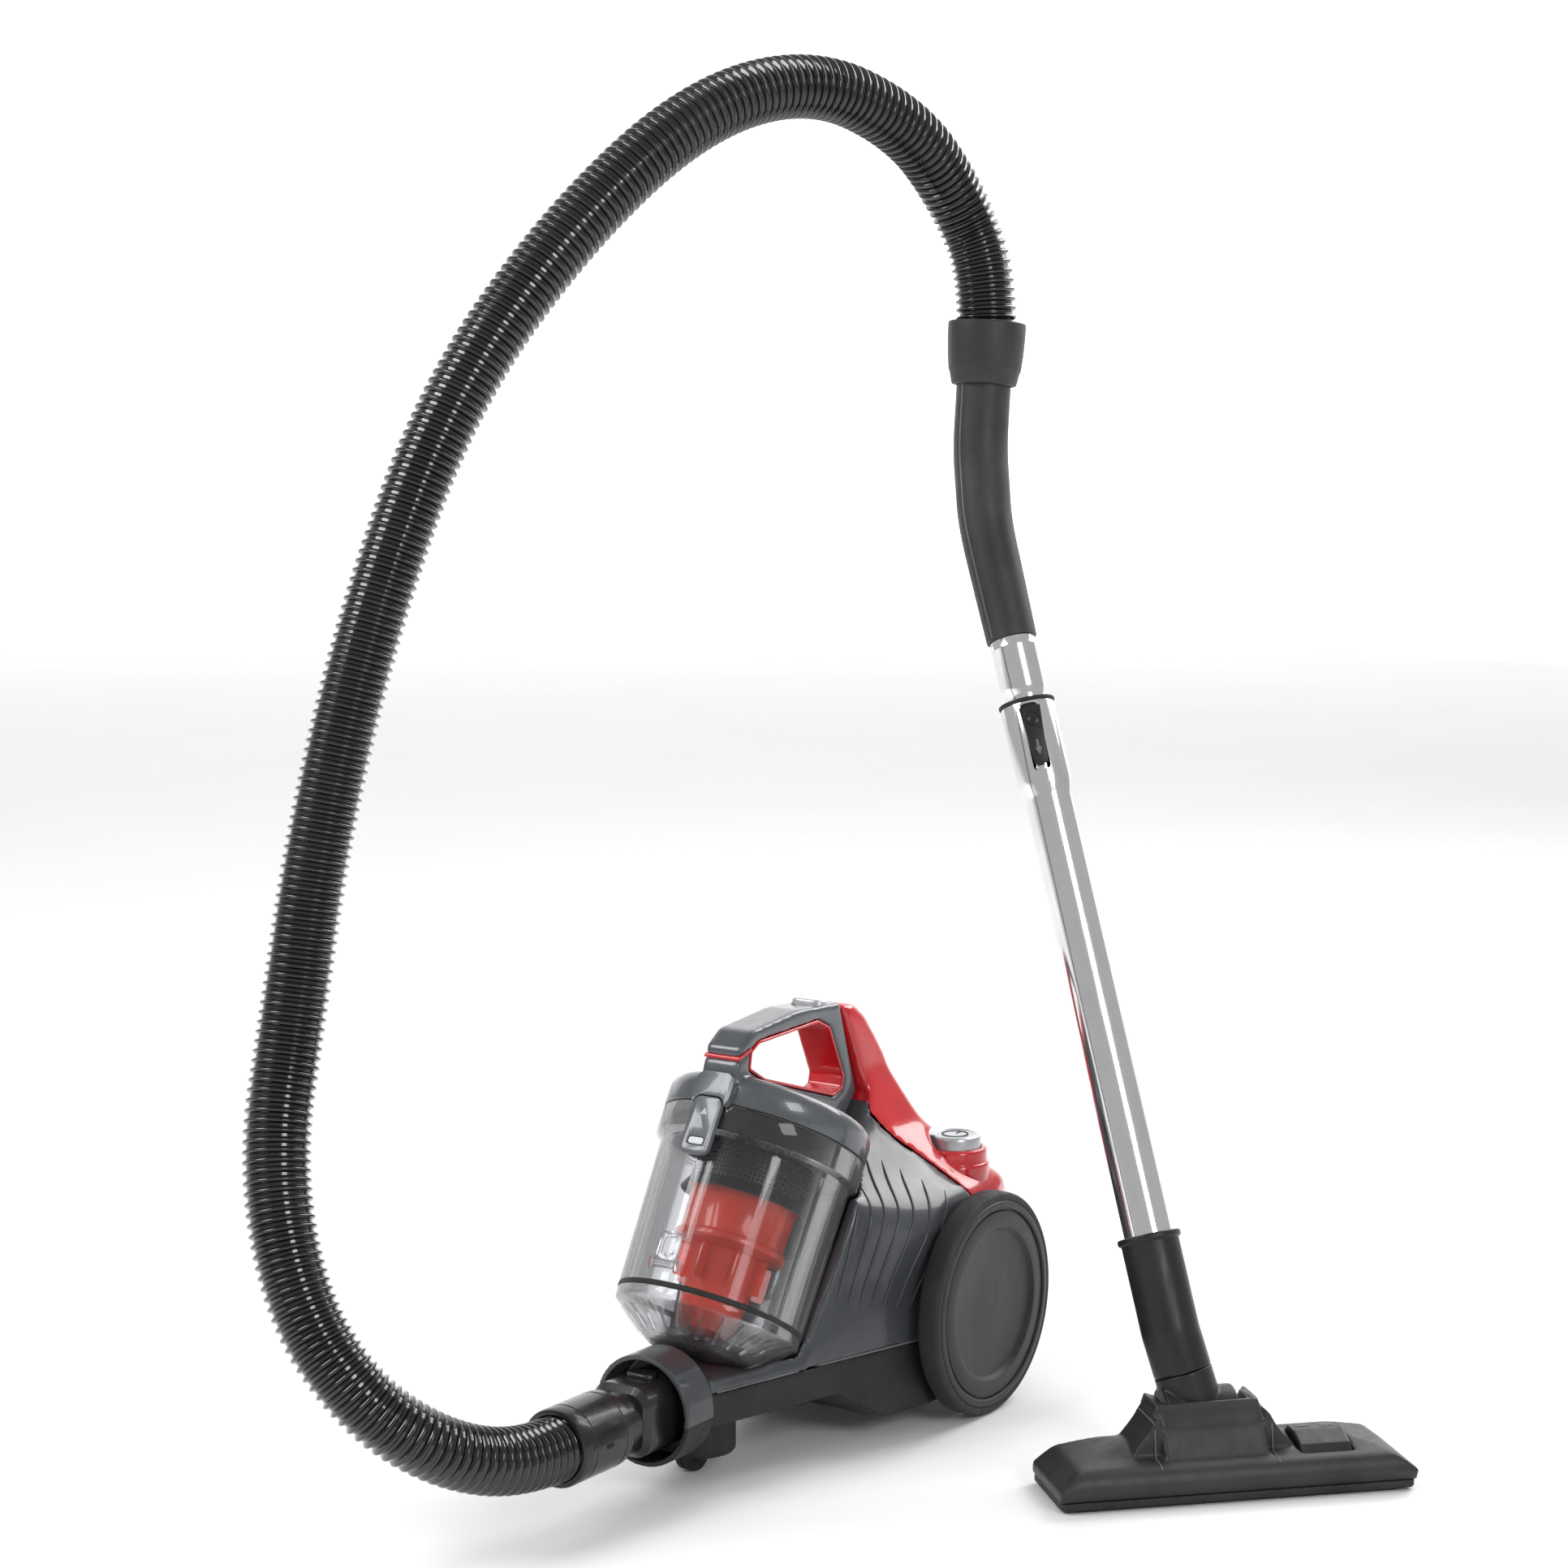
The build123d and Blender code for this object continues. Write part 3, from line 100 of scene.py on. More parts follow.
@dataclass(frozen=True)
class Signal:
    """One output socket of a material, on which arithmetic adds Math nodes."""

    recipe: "Recipe"
    socket: bpy.types.NodeSocket

    def _math(self, operation: str, first: object, second: object) -> "Signal":
        """Add one Math node and return its value."""
        return self.recipe.node("ShaderNodeMath", {"operation": operation}, {0: first, 1: second})

    def __add__(self, other: object) -> "Signal":
        """Sum."""
        return self._math("ADD", self, other)

    def __radd__(self, other: object) -> "Signal":
        """Sum, reflected."""
        return self._math("ADD", other, self)

    def __sub__(self, other: object) -> "Signal":
        """Difference."""
        return self._math("SUBTRACT", self, other)

    def __rsub__(self, other: object) -> "Signal":
        """Difference, reflected."""
        return self._math("SUBTRACT", other, self)

    def __mul__(self, other: object) -> "Signal":
        """Product."""
        return self._math("MULTIPLY", self, other)

    def __rmul__(self, other: object) -> "Signal":
        """Product, reflected."""
        return self._math("MULTIPLY", other, self)


class Recipe:
    """A material while it is being put together."""

    def __init__(self, name: str) -> None:
        """Start an empty node material."""
        self.material = bpy.data.materials.new(name)
        self.material.use_nodes = True
        self.tree = self.material.node_tree
        self.tree.nodes.clear()

    def node(self, kind: str, settings: Optional[dict] = None, values: Optional[dict] = None,
             out: int = 0) -> Signal:
        """Add one node.

        Args:
            kind: The node's type.
            settings: Attributes to set first; a ramp's stops go under "stops".
            values: Numbers or signals for its input sockets.
            out: Which output to return.

        Returns:
            The chosen output.
        """
        node = self.tree.nodes.new(kind)
        for key, value in (settings or {}).items():
            if key == "stops":
                ramp = node.color_ramp
                while len(ramp.elements) < len(value):
                    ramp.elements.new(0.5)
                for element, (position, shade) in zip(ramp.elements, value):
                    element.position = position
                    element.color = (shade, shade, shade, 1)
            else:
                setattr(node, key, value)
        for key, value in (values or {}).items():
            if isinstance(value, Signal):
                self.tree.links.new(value.socket, node.inputs[key])
            else:
                node.inputs[key].default_value = value
        return Signal(self, node.outputs[out])

    def spot(self, stretch: Point = (1, 1, 1)) -> Signal:
        """Object coordinates, stretched along each axis."""
        place = self.node("ShaderNodeTexCoord", out=3)
        return self.node("ShaderNodeMapping", None, {"Vector": place, "Scale": stretch})

    def noise(self, scale: float, detail: float = 3, stretch: Point = (1, 1, 1)) -> Signal:
        """Fractal noise from 0 to 1, with a scale in features per metre."""
        return self.node("ShaderNodeTexNoise", None, {
            "Vector": self.spot(stretch), "Scale": scale, "Detail": detail})

    def ramp(self, value: Signal, stops: Sequence[Pair]) -> Signal:
        """Map a value through grey stops of (position, shade)."""
        return self.node("ShaderNodeValToRGB", {"stops": stops}, {"Fac": value})

    def blend(self, share: Signal, first: Colour, second: Colour) -> Signal:
        """Mix two colours."""
        return self.node("ShaderNodeMix", {"data_type": "RGBA"},
                         {0: share, 6: (*first, 1), 7: (*second, 1)}, out=2)

    def bump(self, height: Signal, depth: float) -> Signal:
        """Turn a height from 0 to 1 into a normal, with the depth in millimetres."""
        return self.node("ShaderNodeBump", None, {"Height": height, "Strength": 1.0, "Distance": depth * MM})

    def close(self, shader: Signal) -> bpy.types.Material:
        """Join the shader to the output and hand over the material."""
        output = self.tree.nodes.new("ShaderNodeOutputMaterial")
        self.tree.links.new(shader.socket, output.inputs["Surface"])
        return self.material


@dataclass(frozen=True)
class Finish:
    """Any finish: its name, and the record's material slot that it belongs to, which is not used."""

    name: str
    slot: str

    def recipe(self) -> bpy.types.Material:
        """Build the material."""
        raise NotImplementedError

    def material(self) -> bpy.types.Material:
        """The material, built once and then shared."""
        return bpy.data.materials.get(self.name) or self.recipe()


@dataclass(frozen=True)
class Moulded(Finish):
    """Moulded plastic or rubber: drifting colour, spark-eroded grain and rubbed patches."""

    colour: Colour = (0.03, 0.03, 0.03)
    drift: float = 0.25
    roughness: float = 0.45
    rubbed: float = 0.12
    grain_scale: float = 2600
    grain: float = 0.02
    coat: float = 0.0
    metallic: float = 0.0
    flake: float = 0.0
    smear: float = 18

    def recipe(self) -> bpy.types.Material:
        """Build the material."""
        work = Recipe(self.name)
        cloud = work.noise(self.smear, 4)
        fine = work.noise(self.grain_scale, 2)
        scuff = work.noise(140, 6, (1, 1, 0.25))
        lighter = tuple(min(1.0, part * (1 + self.drift) + 0.004) for part in self.colour)
        darker = tuple(part * (1 - self.drift) for part in self.colour)
        share = work.ramp(cloud, ((0.35, 0), (0.68, 1)))
        if self.flake:
            share = share * (1 - self.flake) + work.ramp(fine, ((0.45, 0), (0.62, 1))) * self.flake
        rough = (work.ramp(scuff, ((0.42, 0), (0.66, 1))) * self.rubbed) + self.roughness
        rough = rough + (cloud - 0.5) * (self.rubbed * 0.6)
        normal = work.bump(fine, self.grain)
        return work.close(work.node("ShaderNodeBsdfPrincipled", None, {
            "Base Color": work.blend(share, darker, lighter), "Roughness": rough, "Normal": normal,
            "Metallic": self.metallic, "Coat Weight": self.coat, "Coat Roughness": 0.06, "IOR": 1.4,
        }))


@dataclass(frozen=True)
class Clear(Finish):
    """Clear or tinted moulding: see-through face on, glossy and darker towards its edges."""

    tint: Colour = (0.8, 0.82, 0.84)
    through: Colour = (0.94, 0.945, 0.955)
    depth: float = 0.3
    body: float = 0.03
    edge: float = 0.4
    roughness: float = 0.03

    def recipe(self) -> bpy.types.Material:
        """Build the material."""
        work = Recipe(self.name)
        haze = work.ramp(work.noise(30, 5), ((0.4, 0), (0.75, 1)))
        hairs = work.bump(work.noise(320, 4, (1, 1, 0.08)), 0.003)
        rough = haze * 0.05 + self.roughness
        facing = work.node("ShaderNodeLayerWeight", None, {"Blend": 0.3}, out=1)
        glare = work.node("ShaderNodeLayerWeight", None, {"Blend": 0.28}, out=0)
        deep = tuple(part * self.depth for part in self.tint)
        deeper = tuple(part * self.depth * 0.7 for part in self.tint)
        mass = work.node("ShaderNodeBsdfPrincipled", None, {
            "Base Color": work.blend(haze, deep, deeper), "Roughness": 0.35, "Normal": hairs})
        gloss = work.node("ShaderNodeBsdfPrincipled", None, {
            "Base Color": (1, 1, 1, 1), "Metallic": 1.0, "Roughness": rough, "Normal": hairs})
        through = work.node("ShaderNodeBsdfTransparent", None, {"Color": (*self.through, 1)})
        share = facing * (self.edge - self.body) + self.body + haze * 0.02
        inner = work.node("ShaderNodeMixShader", None, {0: share, 1: through, 2: mass})
        return work.close(work.node("ShaderNodeMixShader", None, {0: glare * 0.7, 1: inner, 2: gloss}))


@dataclass(frozen=True)
class Plated(Finish):
    """Bright metal: faint drawn lines along the part and light handling marks."""

    colour: Colour = (0.78, 0.78, 0.79)
    roughness: float = 0.08
    lines: float = 0.004
    stretch: Point = (1, 1, 0.03)

    def recipe(self) -> bpy.types.Material:
        """Build the material."""
        work = Recipe(self.name)
        drawn = work.noise(1500, 3, self.stretch)
        marks = work.ramp(work.noise(35, 5), ((0.45, 0), (0.75, 1)))
        darker = tuple(part * 0.9 for part in self.colour)
        return work.close(work.node("ShaderNodeBsdfPrincipled", None, {
            "Base Color": work.blend(marks, self.colour, darker),
            "Roughness": marks * 0.08 + drawn * 0.05 + self.roughness,
            "Normal": work.bump(drawn, self.lines), "Metallic": 1.0,
        }))


@dataclass(frozen=True)
class Porous(Finish):
    """Foam, paper or bristle: open cells or fibres that scatter light."""

    colour: Colour = (0.1, 0.1, 0.1)
    cell_scale: float = 700
    depth: float = 0.4
    stretch: Point = (1, 1, 1)

    def recipe(self) -> bpy.types.Material:
        """Build the material."""
        work = Recipe(self.name)
        cells = work.node("ShaderNodeTexVoronoi", None, {
            "Vector": work.spot(self.stretch), "Scale": self.cell_scale})
        darker = tuple(part * 0.45 for part in self.colour)
        return work.close(work.node("ShaderNodeBsdfPrincipled", None, {
            "Base Color": work.blend(cells, darker, self.colour), "Roughness": 0.92,
            "Normal": work.bump(cells, self.depth), "Sheen Weight": 0.3,
        }))


class Look(Enum):
    """Every finish on the machine."""

    BASE = Moulded("satin_black_base", "body_black", (0.014, 0.014, 0.015), roughness=0.42, grain=0.03)
    SHELL = Moulded("smoked_grey_shell", "shell_dark", (0.05, 0.054, 0.06), roughness=0.3, rubbed=0.06,
                    grain=0.004, coat=0.3, flake=0.35)
    RED = Moulded("glossy_red", "cover_red", (0.55, 0.006, 0.012), drift=0.12, roughness=0.2, rubbed=0.06,
                  grain=0.004, coat=0.8)
    LID = Moulded("metallic_grey_lid", "lid_grey", (0.085, 0.092, 0.102), drift=0.2, roughness=0.26,
                  rubbed=0.06, grain=0.005, coat=0.5, metallic=0.2, flake=0.5)
    SILVER = Moulded("silver_paint", "silver", (0.5, 0.51, 0.53), drift=0.1, roughness=0.3, rubbed=0.06,
                     grain=0.01, metallic=0.7, flake=0.5)
    WHEEL = Moulded("satin_wheel", "wheel_black", (0.02, 0.021, 0.022), drift=0.12, roughness=0.45,
                    rubbed=0.05, grain=0.02)
    RUBBER = Moulded("soft_rubber", "soft_black", (0.02, 0.02, 0.021), roughness=0.6, grain=0.05)
    HOSE = Moulded("glossy_hose", "hose_black", (0.006, 0.006, 0.0065), roughness=0.16, rubbed=0.08,
                   grain=0.004, coat=0.6)
    CUFF = Moulded("glossy_black", "hose_black", (0.01, 0.01, 0.011), roughness=0.25, rubbed=0.07,
                   grain=0.003, coat=0.25)
    GRIP = Moulded("matte_grip", "grip_grey", (0.026, 0.028, 0.03), roughness=0.46, rubbed=0.08, grain=0.04)
    SEAM = Moulded("lighter_seam", "grip_grey", (0.12, 0.125, 0.13), roughness=0.4, grain=0.02)
    HEAD = Moulded("charcoal_head", "body_black", (0.02, 0.021, 0.023), roughness=0.42, rubbed=0.08,
                   grain=0.05)
    NECK = Moulded("satin_neck", "body_black", (0.014, 0.014, 0.015), roughness=0.34, grain=0.02)
    CLEAR = Clear("clear_cup", "cup_clear")
    CONE = Clear("red_cone", "cone_red", (0.95, 0.07, 0.02), (1.0, 0.3, 0.16), depth=1.0, body=0.5,
                 edge=0.8, roughness=0.08)
    WINDOW = Clear("small_window", "cup_clear", (0.7, 0.72, 0.74), depth=0.9, body=0.5, edge=0.8)
    CHROME = Plated("bright_chrome", "tube_chrome")
    STEEL = Plated("turned_steel", "steel", (0.5, 0.5, 0.5), roughness=0.3, lines=0.02)
    COPPER = Plated("wound_copper", "copper_core", (0.6, 0.3, 0.12), roughness=0.35, lines=0.05)
    MARK = Moulded("pale_mark", "silver", (0.45, 0.46, 0.47), roughness=0.5, grain=0.01)
    # Near-black for the seals, the lid joint and the pedal marks; on the cuff it is painted shade where a slot
    # would be.
    DARK = Moulded("black_trim_and_painted_slot_shade", "soft_black", (0.008, 0.008, 0.008), roughness=0.6, grain=0.03)
    FOAM = Porous("open_foam", "foam", (0.12, 0.12, 0.13))
    PAPER = Porous("pleated_paper", "paper", (0.82, 0.82, 0.78), 300, 0.6, (0.3, 1, 1))
    BRISTLE = Porous("brush_bristle", "bristle", (0.06, 0.06, 0.06), 900, 0.3, (1, 1, 0.1))
    BOARD = Moulded("circuit_board", "board_green", (0.03, 0.2, 0.08), roughness=0.35, grain=0.02, coat=0.3)


# ---------------------------------------------------------------- modelling bench


def rest() -> None:
    """Leave edit mode and deselect everything."""
    if bpy.context.object and bpy.context.object.mode == "EDIT":
        bpy.ops.object.mode_set(mode="OBJECT")
    bpy.ops.object.select_all(action="DESELECT")


def take(piece: Piece) -> None:
    """Make a piece the only selected and active one."""
    rest()
    piece.select_set(True)
    bpy.context.view_layer.objects.active = piece


def edit_all(piece: Piece, kind: str = "VERT") -> None:
    """Open a piece in edit mode with everything in its mesh selected.

    Args:
        piece: the piece to open.
        kind: what is selected, VERT, EDGE or FACE.
    """
    take(piece)
    bpy.ops.object.mode_set(mode="EDIT")
    bpy.ops.mesh.select_mode(type=kind)
    bpy.ops.mesh.select_all(action="SELECT")


def settle(piece: Piece, place: Matrix) -> Piece:
    """Move a piece into the shared frame and put its place into its mesh."""
    take(piece)
    piece.matrix_world = place @ piece.matrix_world
    bpy.ops.object.transform_apply(location=True, rotation=True, scale=True)
    return piece


def modify(piece: Piece, kind: str, **settings: object) -> Piece:
    """Add one modifier and apply it."""
    take(piece)
    change = piece.modifiers.new(kind.lower(), kind)
    for key, value in settings.items():
        setattr(change, key, value)
    bpy.ops.object.modifier_apply(modifier=change.name)
    return piece


def soften(piece: Piece, width: float = 0.8, steps: int = 2, angle: float = 28) -> Piece:
    """Round a piece's sharp edges by a bevel of so many millimetres, then shade it smooth."""
    if width:
        modify(piece, "BEVEL", width=width * MM, segments=steps, limit_method="ANGLE",
               angle_limit=radians(angle), harden_normals=False)
    take(piece)
    bpy.ops.object.shade_smooth_by_angle(angle=radians(angle + 6))
    return piece


def outward() -> None:
    """In edit mode, merge doubles and turn every face outwards."""
    bpy.ops.mesh.select_all(action="SELECT")
    bpy.ops.mesh.remove_doubles(threshold=1e-6)
    bpy.ops.mesh.normals_make_consistent(inside=False)
    bpy.ops.object.mode_set(mode="OBJECT")


def turned(name: str, outline: Sequence[Pair], sides: int = 96, shut: bool = True) -> Piece:
    """Turn an outline about the local Z axis by extruding and resizing one ring.

    Args:
        name: The piece's name.
        outline: (radius, height) pairs in millimetres.
        sides: How many sides the ring has.
        shut: Whether the last pair joins back to the first.

    Returns:
        The new piece, about the world origin.
    """
    rest()
    first_radius, first_height = outline[0]
    bpy.ops.mesh.primitive_circle_add(vertices=sides, radius=max(first_radius, 0.001) * MM,
                                      location=(0, 0, first_height * MM))
    piece = bpy.context.object
    piece.name = name
    piece.data.name = name
    bpy.ops.object.transform_apply(location=True, rotation=True, scale=True)
    edit_all(piece)
    radius, height = max(first_radius, 0.001), first_height
    stops = list(outline[1:]) + ([outline[0]] if shut else [])
    for next_radius, next_height in stops:
        next_radius = max(next_radius, 0.001)
        bpy.ops.mesh.extrude_region_move(
            TRANSFORM_OT_translate={"value": (0, 0, (next_height - height) * MM)})
        grow = next_radius / radius
        bpy.ops.transform.resize(value=(grow, grow, 1), center_override=(0, 0, next_height * MM))
        radius, height = next_radius, next_height
    outward()
    return piece


def slab(name: str, outline: Sequence[Pair], thick: float) -> Piece:
    """Cut a plate to an outline in the local XY plane and extrude it up Z, all in millimetres."""
    rest()
    bpy.ops.mesh.primitive_circle_add(vertices=len(outline), radius=1, fill_type="NGON")
    piece = bpy.context.object
    piece.name = name
    piece.data.name = name
    for vertex, (x, y) in zip(piece.data.vertices, outline):
        vertex.co = (x * MM, y * MM, 0)
    edit_all(piece)
    bpy.ops.mesh.extrude_region_move(TRANSFORM_OT_translate={"value": (0, 0, thick * MM)})
    outward()
    return piece


def rounded(width: float, height: float, radius: float, steps: int = 6, centre: Pair = (0, 0)) -> list[Pair]:
    """The outline of a rectangle with rounded corners, in millimetres."""
    outline = []
    for corner, (sx, sy) in enumerate(((1, 1), (-1, 1), (-1, -1), (1, -1))):
        for step in range(steps + 1):
            turn = (corner + step / steps) * pi / 2
            outline.append((centre[0] + sx * (width / 2 - radius) + radius * cos(turn),
                            centre[1] + sy * (height / 2 - radius) + radius * sin(turn)))
    return outline


def pipe(name: str, points: Sequence[Point], radii: Sequence[float], sides: int = 12) -> Piece:
    """Sweep a round bar of changing radius along a smooth line, as a mesh with closed ends.

    Args:
        name: The piece's name.
        points: The line's points, in metres.
        radii: One radius in millimetres for each point, or a single one.
        sides: A quarter of the sides of its section.

    Returns:
        The new piece.
    """
    rest()
    bpy.ops.curve.primitive_nurbs_path_add(radius=1)
    line = bpy.context.object
    line.data.splines.clear()
    spline = line.data.splines.new("NURBS")
    spline.points.add(len(points) - 1)
    sizes = list(radii) if len(radii) > 1 else list(radii) * len(points)
    for knot, point, size in zip(spline.points, points, sizes):
        knot.co = (*point, 1)
        knot.radius = size
    spline.order_u = 3
    spline.use_endpoint_u = True
    line.data.dimensions = "3D"
    line.data.resolution_u = 6
    line.data.bevel_depth = MM
    line.data.bevel_resolution = sides
    line.data.use_fill_caps = True
    take(line)
    bpy.ops.object.convert(target="MESH")
    piece = bpy.context.object
    piece.name = name
    piece.data.name = name
    bpy.ops.object.mode_set(mode="EDIT")
    outward()
    return piece


def cut(piece: Piece, *cutters: Piece) -> Piece:
    """Subtract pieces from a piece, and throw them away."""
    for cutter in cutters:
        modify(piece, "BOOLEAN", operation="DIFFERENCE", object=cutter, solver="EXACT")
        bpy.data.objects.remove(cutter)
    return piece


def joined(name: str, *parts: Piece) -> Piece:
    """Join pieces of one finish into one object."""
    take(parts[0])
    for part in parts[1:]:
        part.select_set(True)
    bpy.ops.object.join()
    piece = bpy.context.object
    piece.name = name
    piece.data.name = name
    return piece


def copy_of(piece: Piece, name: str, place: Matrix) -> Piece:
    """A copy with its own mesh, moved by a matrix in the shared frame."""
    twin = piece.copy()
    twin.data = piece.data.copy()
    bpy.context.scene.collection.objects.link(twin)
    twin.name = name
    twin.data.name = name
    return settle(twin, place)


def recast(node: str, name: str, voxel: float, rounds: int,
           extras: Sequence[Piece] = ()) -> Piece:
    """Recast a CAD solid as an even skin and ease its edges, as a moulding's draught and radii do.

    Args:
        node: The CAD node to start from.
        name: The new piece's name.
        voxel: The skin's spacing in millimetres.
        rounds: How many rounds of smoothing ease it.
        extras: Pieces that grow together with it.

    Returns:
        The new piece.
    """
    rest()
    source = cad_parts[node]
    piece = bpy.data.objects.new(name, source.data.copy())
    bpy.context.scene.collection.objects.link(piece)
    edit_all(piece)
    bpy.ops.mesh.remove_doubles(threshold=1e-6)
    bpy.ops.object.mode_set(mode="OBJECT")
    piece = joined(name, piece, *extras)
    modify(piece, "REMESH", mode="VOXEL", voxel_size=voxel * MM)
    modify(piece, "SMOOTH", factor=0.5, iterations=rounds)
    bpy.ops.object.shade_smooth()
    return piece


def ease(piece: Piece, distance: Callable[[Vector], float], rounds: int, border: float = 10.0) -> None:
    """Smooth a skin's broad faces further, and hold it where it meets its neighbours.

    Args:
        piece: The skin.
        distance: How many millimetres a canister point is from the nearest held edge.
        rounds: How many rounds of smoothing.
        border: Over how many millimetres from an edge the smoothing grows to full.
    """
    group = piece.vertex_groups.new(name="ease")
    back = CANISTER.inverted()
    for vertex in piece.data.vertices:
        weight = min(1.0, max(0.0, distance(back @ vertex.co / MM) / border))
        group.add([vertex.index], weight, "REPLACE")
    modify(piece, "SMOOTH", factor=0.5, iterations=rounds, vertex_group="ease")
    piece.vertex_groups.clear()


def off_line(y: float, z: float, line: Sequence[Pair]) -> float:
    """How far a point of the side view is from a chain of straight lines."""
    best = FAR
    for (ay, az), (by, bz) in zip(line, line[1:]):
        run = (by - ay) ** 2 + (bz - az) ** 2
        share = min(1.0, max(0.0, ((y - ay) * (by - ay) + (z - az) * (bz - az)) / run))
        best = min(best, hypot(y - ay - share * (by - ay), z - az - share * (bz - az)))
    return best


def surface_point(piece: Piece, start: Vector, heading: Vector, lift: float = 0.0) -> Optional[Vector]:
    """Where a ray from outside first meets a piece, raised off it by so many millimetres."""
    hit, point, normal, _ = piece.ray_cast(start, heading.normalized())
    return point + normal * lift * MM if hit else None


def dress(piece: Piece, look: Look, body: str, *replaced: str) -> Piece:
    """Give a piece its finish, let it ride on a body and stand for CAD nodes."""
    piece.data.materials.clear()
    piece.data.materials.append(look.value.material())
    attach(piece, body)
    if replaced:
        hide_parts(*replaced)
    LOG.info("%s on %s", piece.name, body)
    return piece


def dress_node(node: str, look: Look) -> None:
    """Give a CAD node its finish."""
    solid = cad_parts[node]
    solid.data.materials.clear()
    solid.data.materials.append(look.value.material())
    LOG.info("CAD node %s dressed", node)


# ---------------------------------------------------------------- sub-assemblies


@dataclass
class Wheels:
    """The two large rear wheels: dished disc with turned grooves, and a ribbed soft tread."""

    radius: float = 86.5
    disc: float = 80.0
    thick: float = 18.0
    inner: float = 98.0
    height: float = 86.5

    def disc_outline(self) -> list[Pair]:
        """Outline of the disc: rim, groove, flat ring, chamfered step and shallow dish."""
        rim, face = self.disc, self.thick
        return [
            (6.2, 4), (20, 4), (24, 1), (rim - 1, 1), (rim, 2), (rim, face), (rim - 0.8, face + 1.2),
            (rim - 5.2, face + 1.6), (rim - 6.2, face + 0.8), (rim - 6.6, face - 1.6), (rim - 7.8, face - 1.6),
            (rim - 8.2, face + 0.4), (rim - 19, face + 1.2), (rim - 20.5, face + 1.0), (rim - 23.5, face - 2.2),
            (rim - 25, face - 2.6), (24, face - 1.6), (6, face - 1.3), (0, face - 1.3), (0, 12), (6.2, 12),
        ]

    def build(self) -> None:
        """Model one disc and one tread, and copy them to both sides."""
        disc = soften(turned("disc", self.disc_outline(), 160), 0.35, 2, 20)
        tread = turned("tread", [
            (self.disc, 1), (self.radius - 2.5, 0.4), (self.radius - 0.6, 2), (self.radius - 0.1, 5),
            (self.radius - 0.1, 14), (self.radius - 0.6, 17), (self.radius - 2.5, 18.6), (self.disc, 18.6),
        ], 192)
        soften(tread, 0.5, 2, 20)
        for side, name in ((1, "left"), (-1, "right")):
            place = CANISTER @ frame_at((side * self.inner, 0, self.height), (side, 0, 0), (0, 1, 0))
            body = f"{name}_wheel_set"
            dress(copy_of(disc, f"{name}_wheel_disc", place), Look.WHEEL, body, f"{name}_wheel")
            dress(copy_of(tread, f"{name}_wheel_tyre", place), Look.RUBBER, body, f"{name}_tread")
        bpy.data.objects.remove(disc)
        bpy.data.objects.remove(tread)
        dress_node("stub_axles", Look.STEEL)


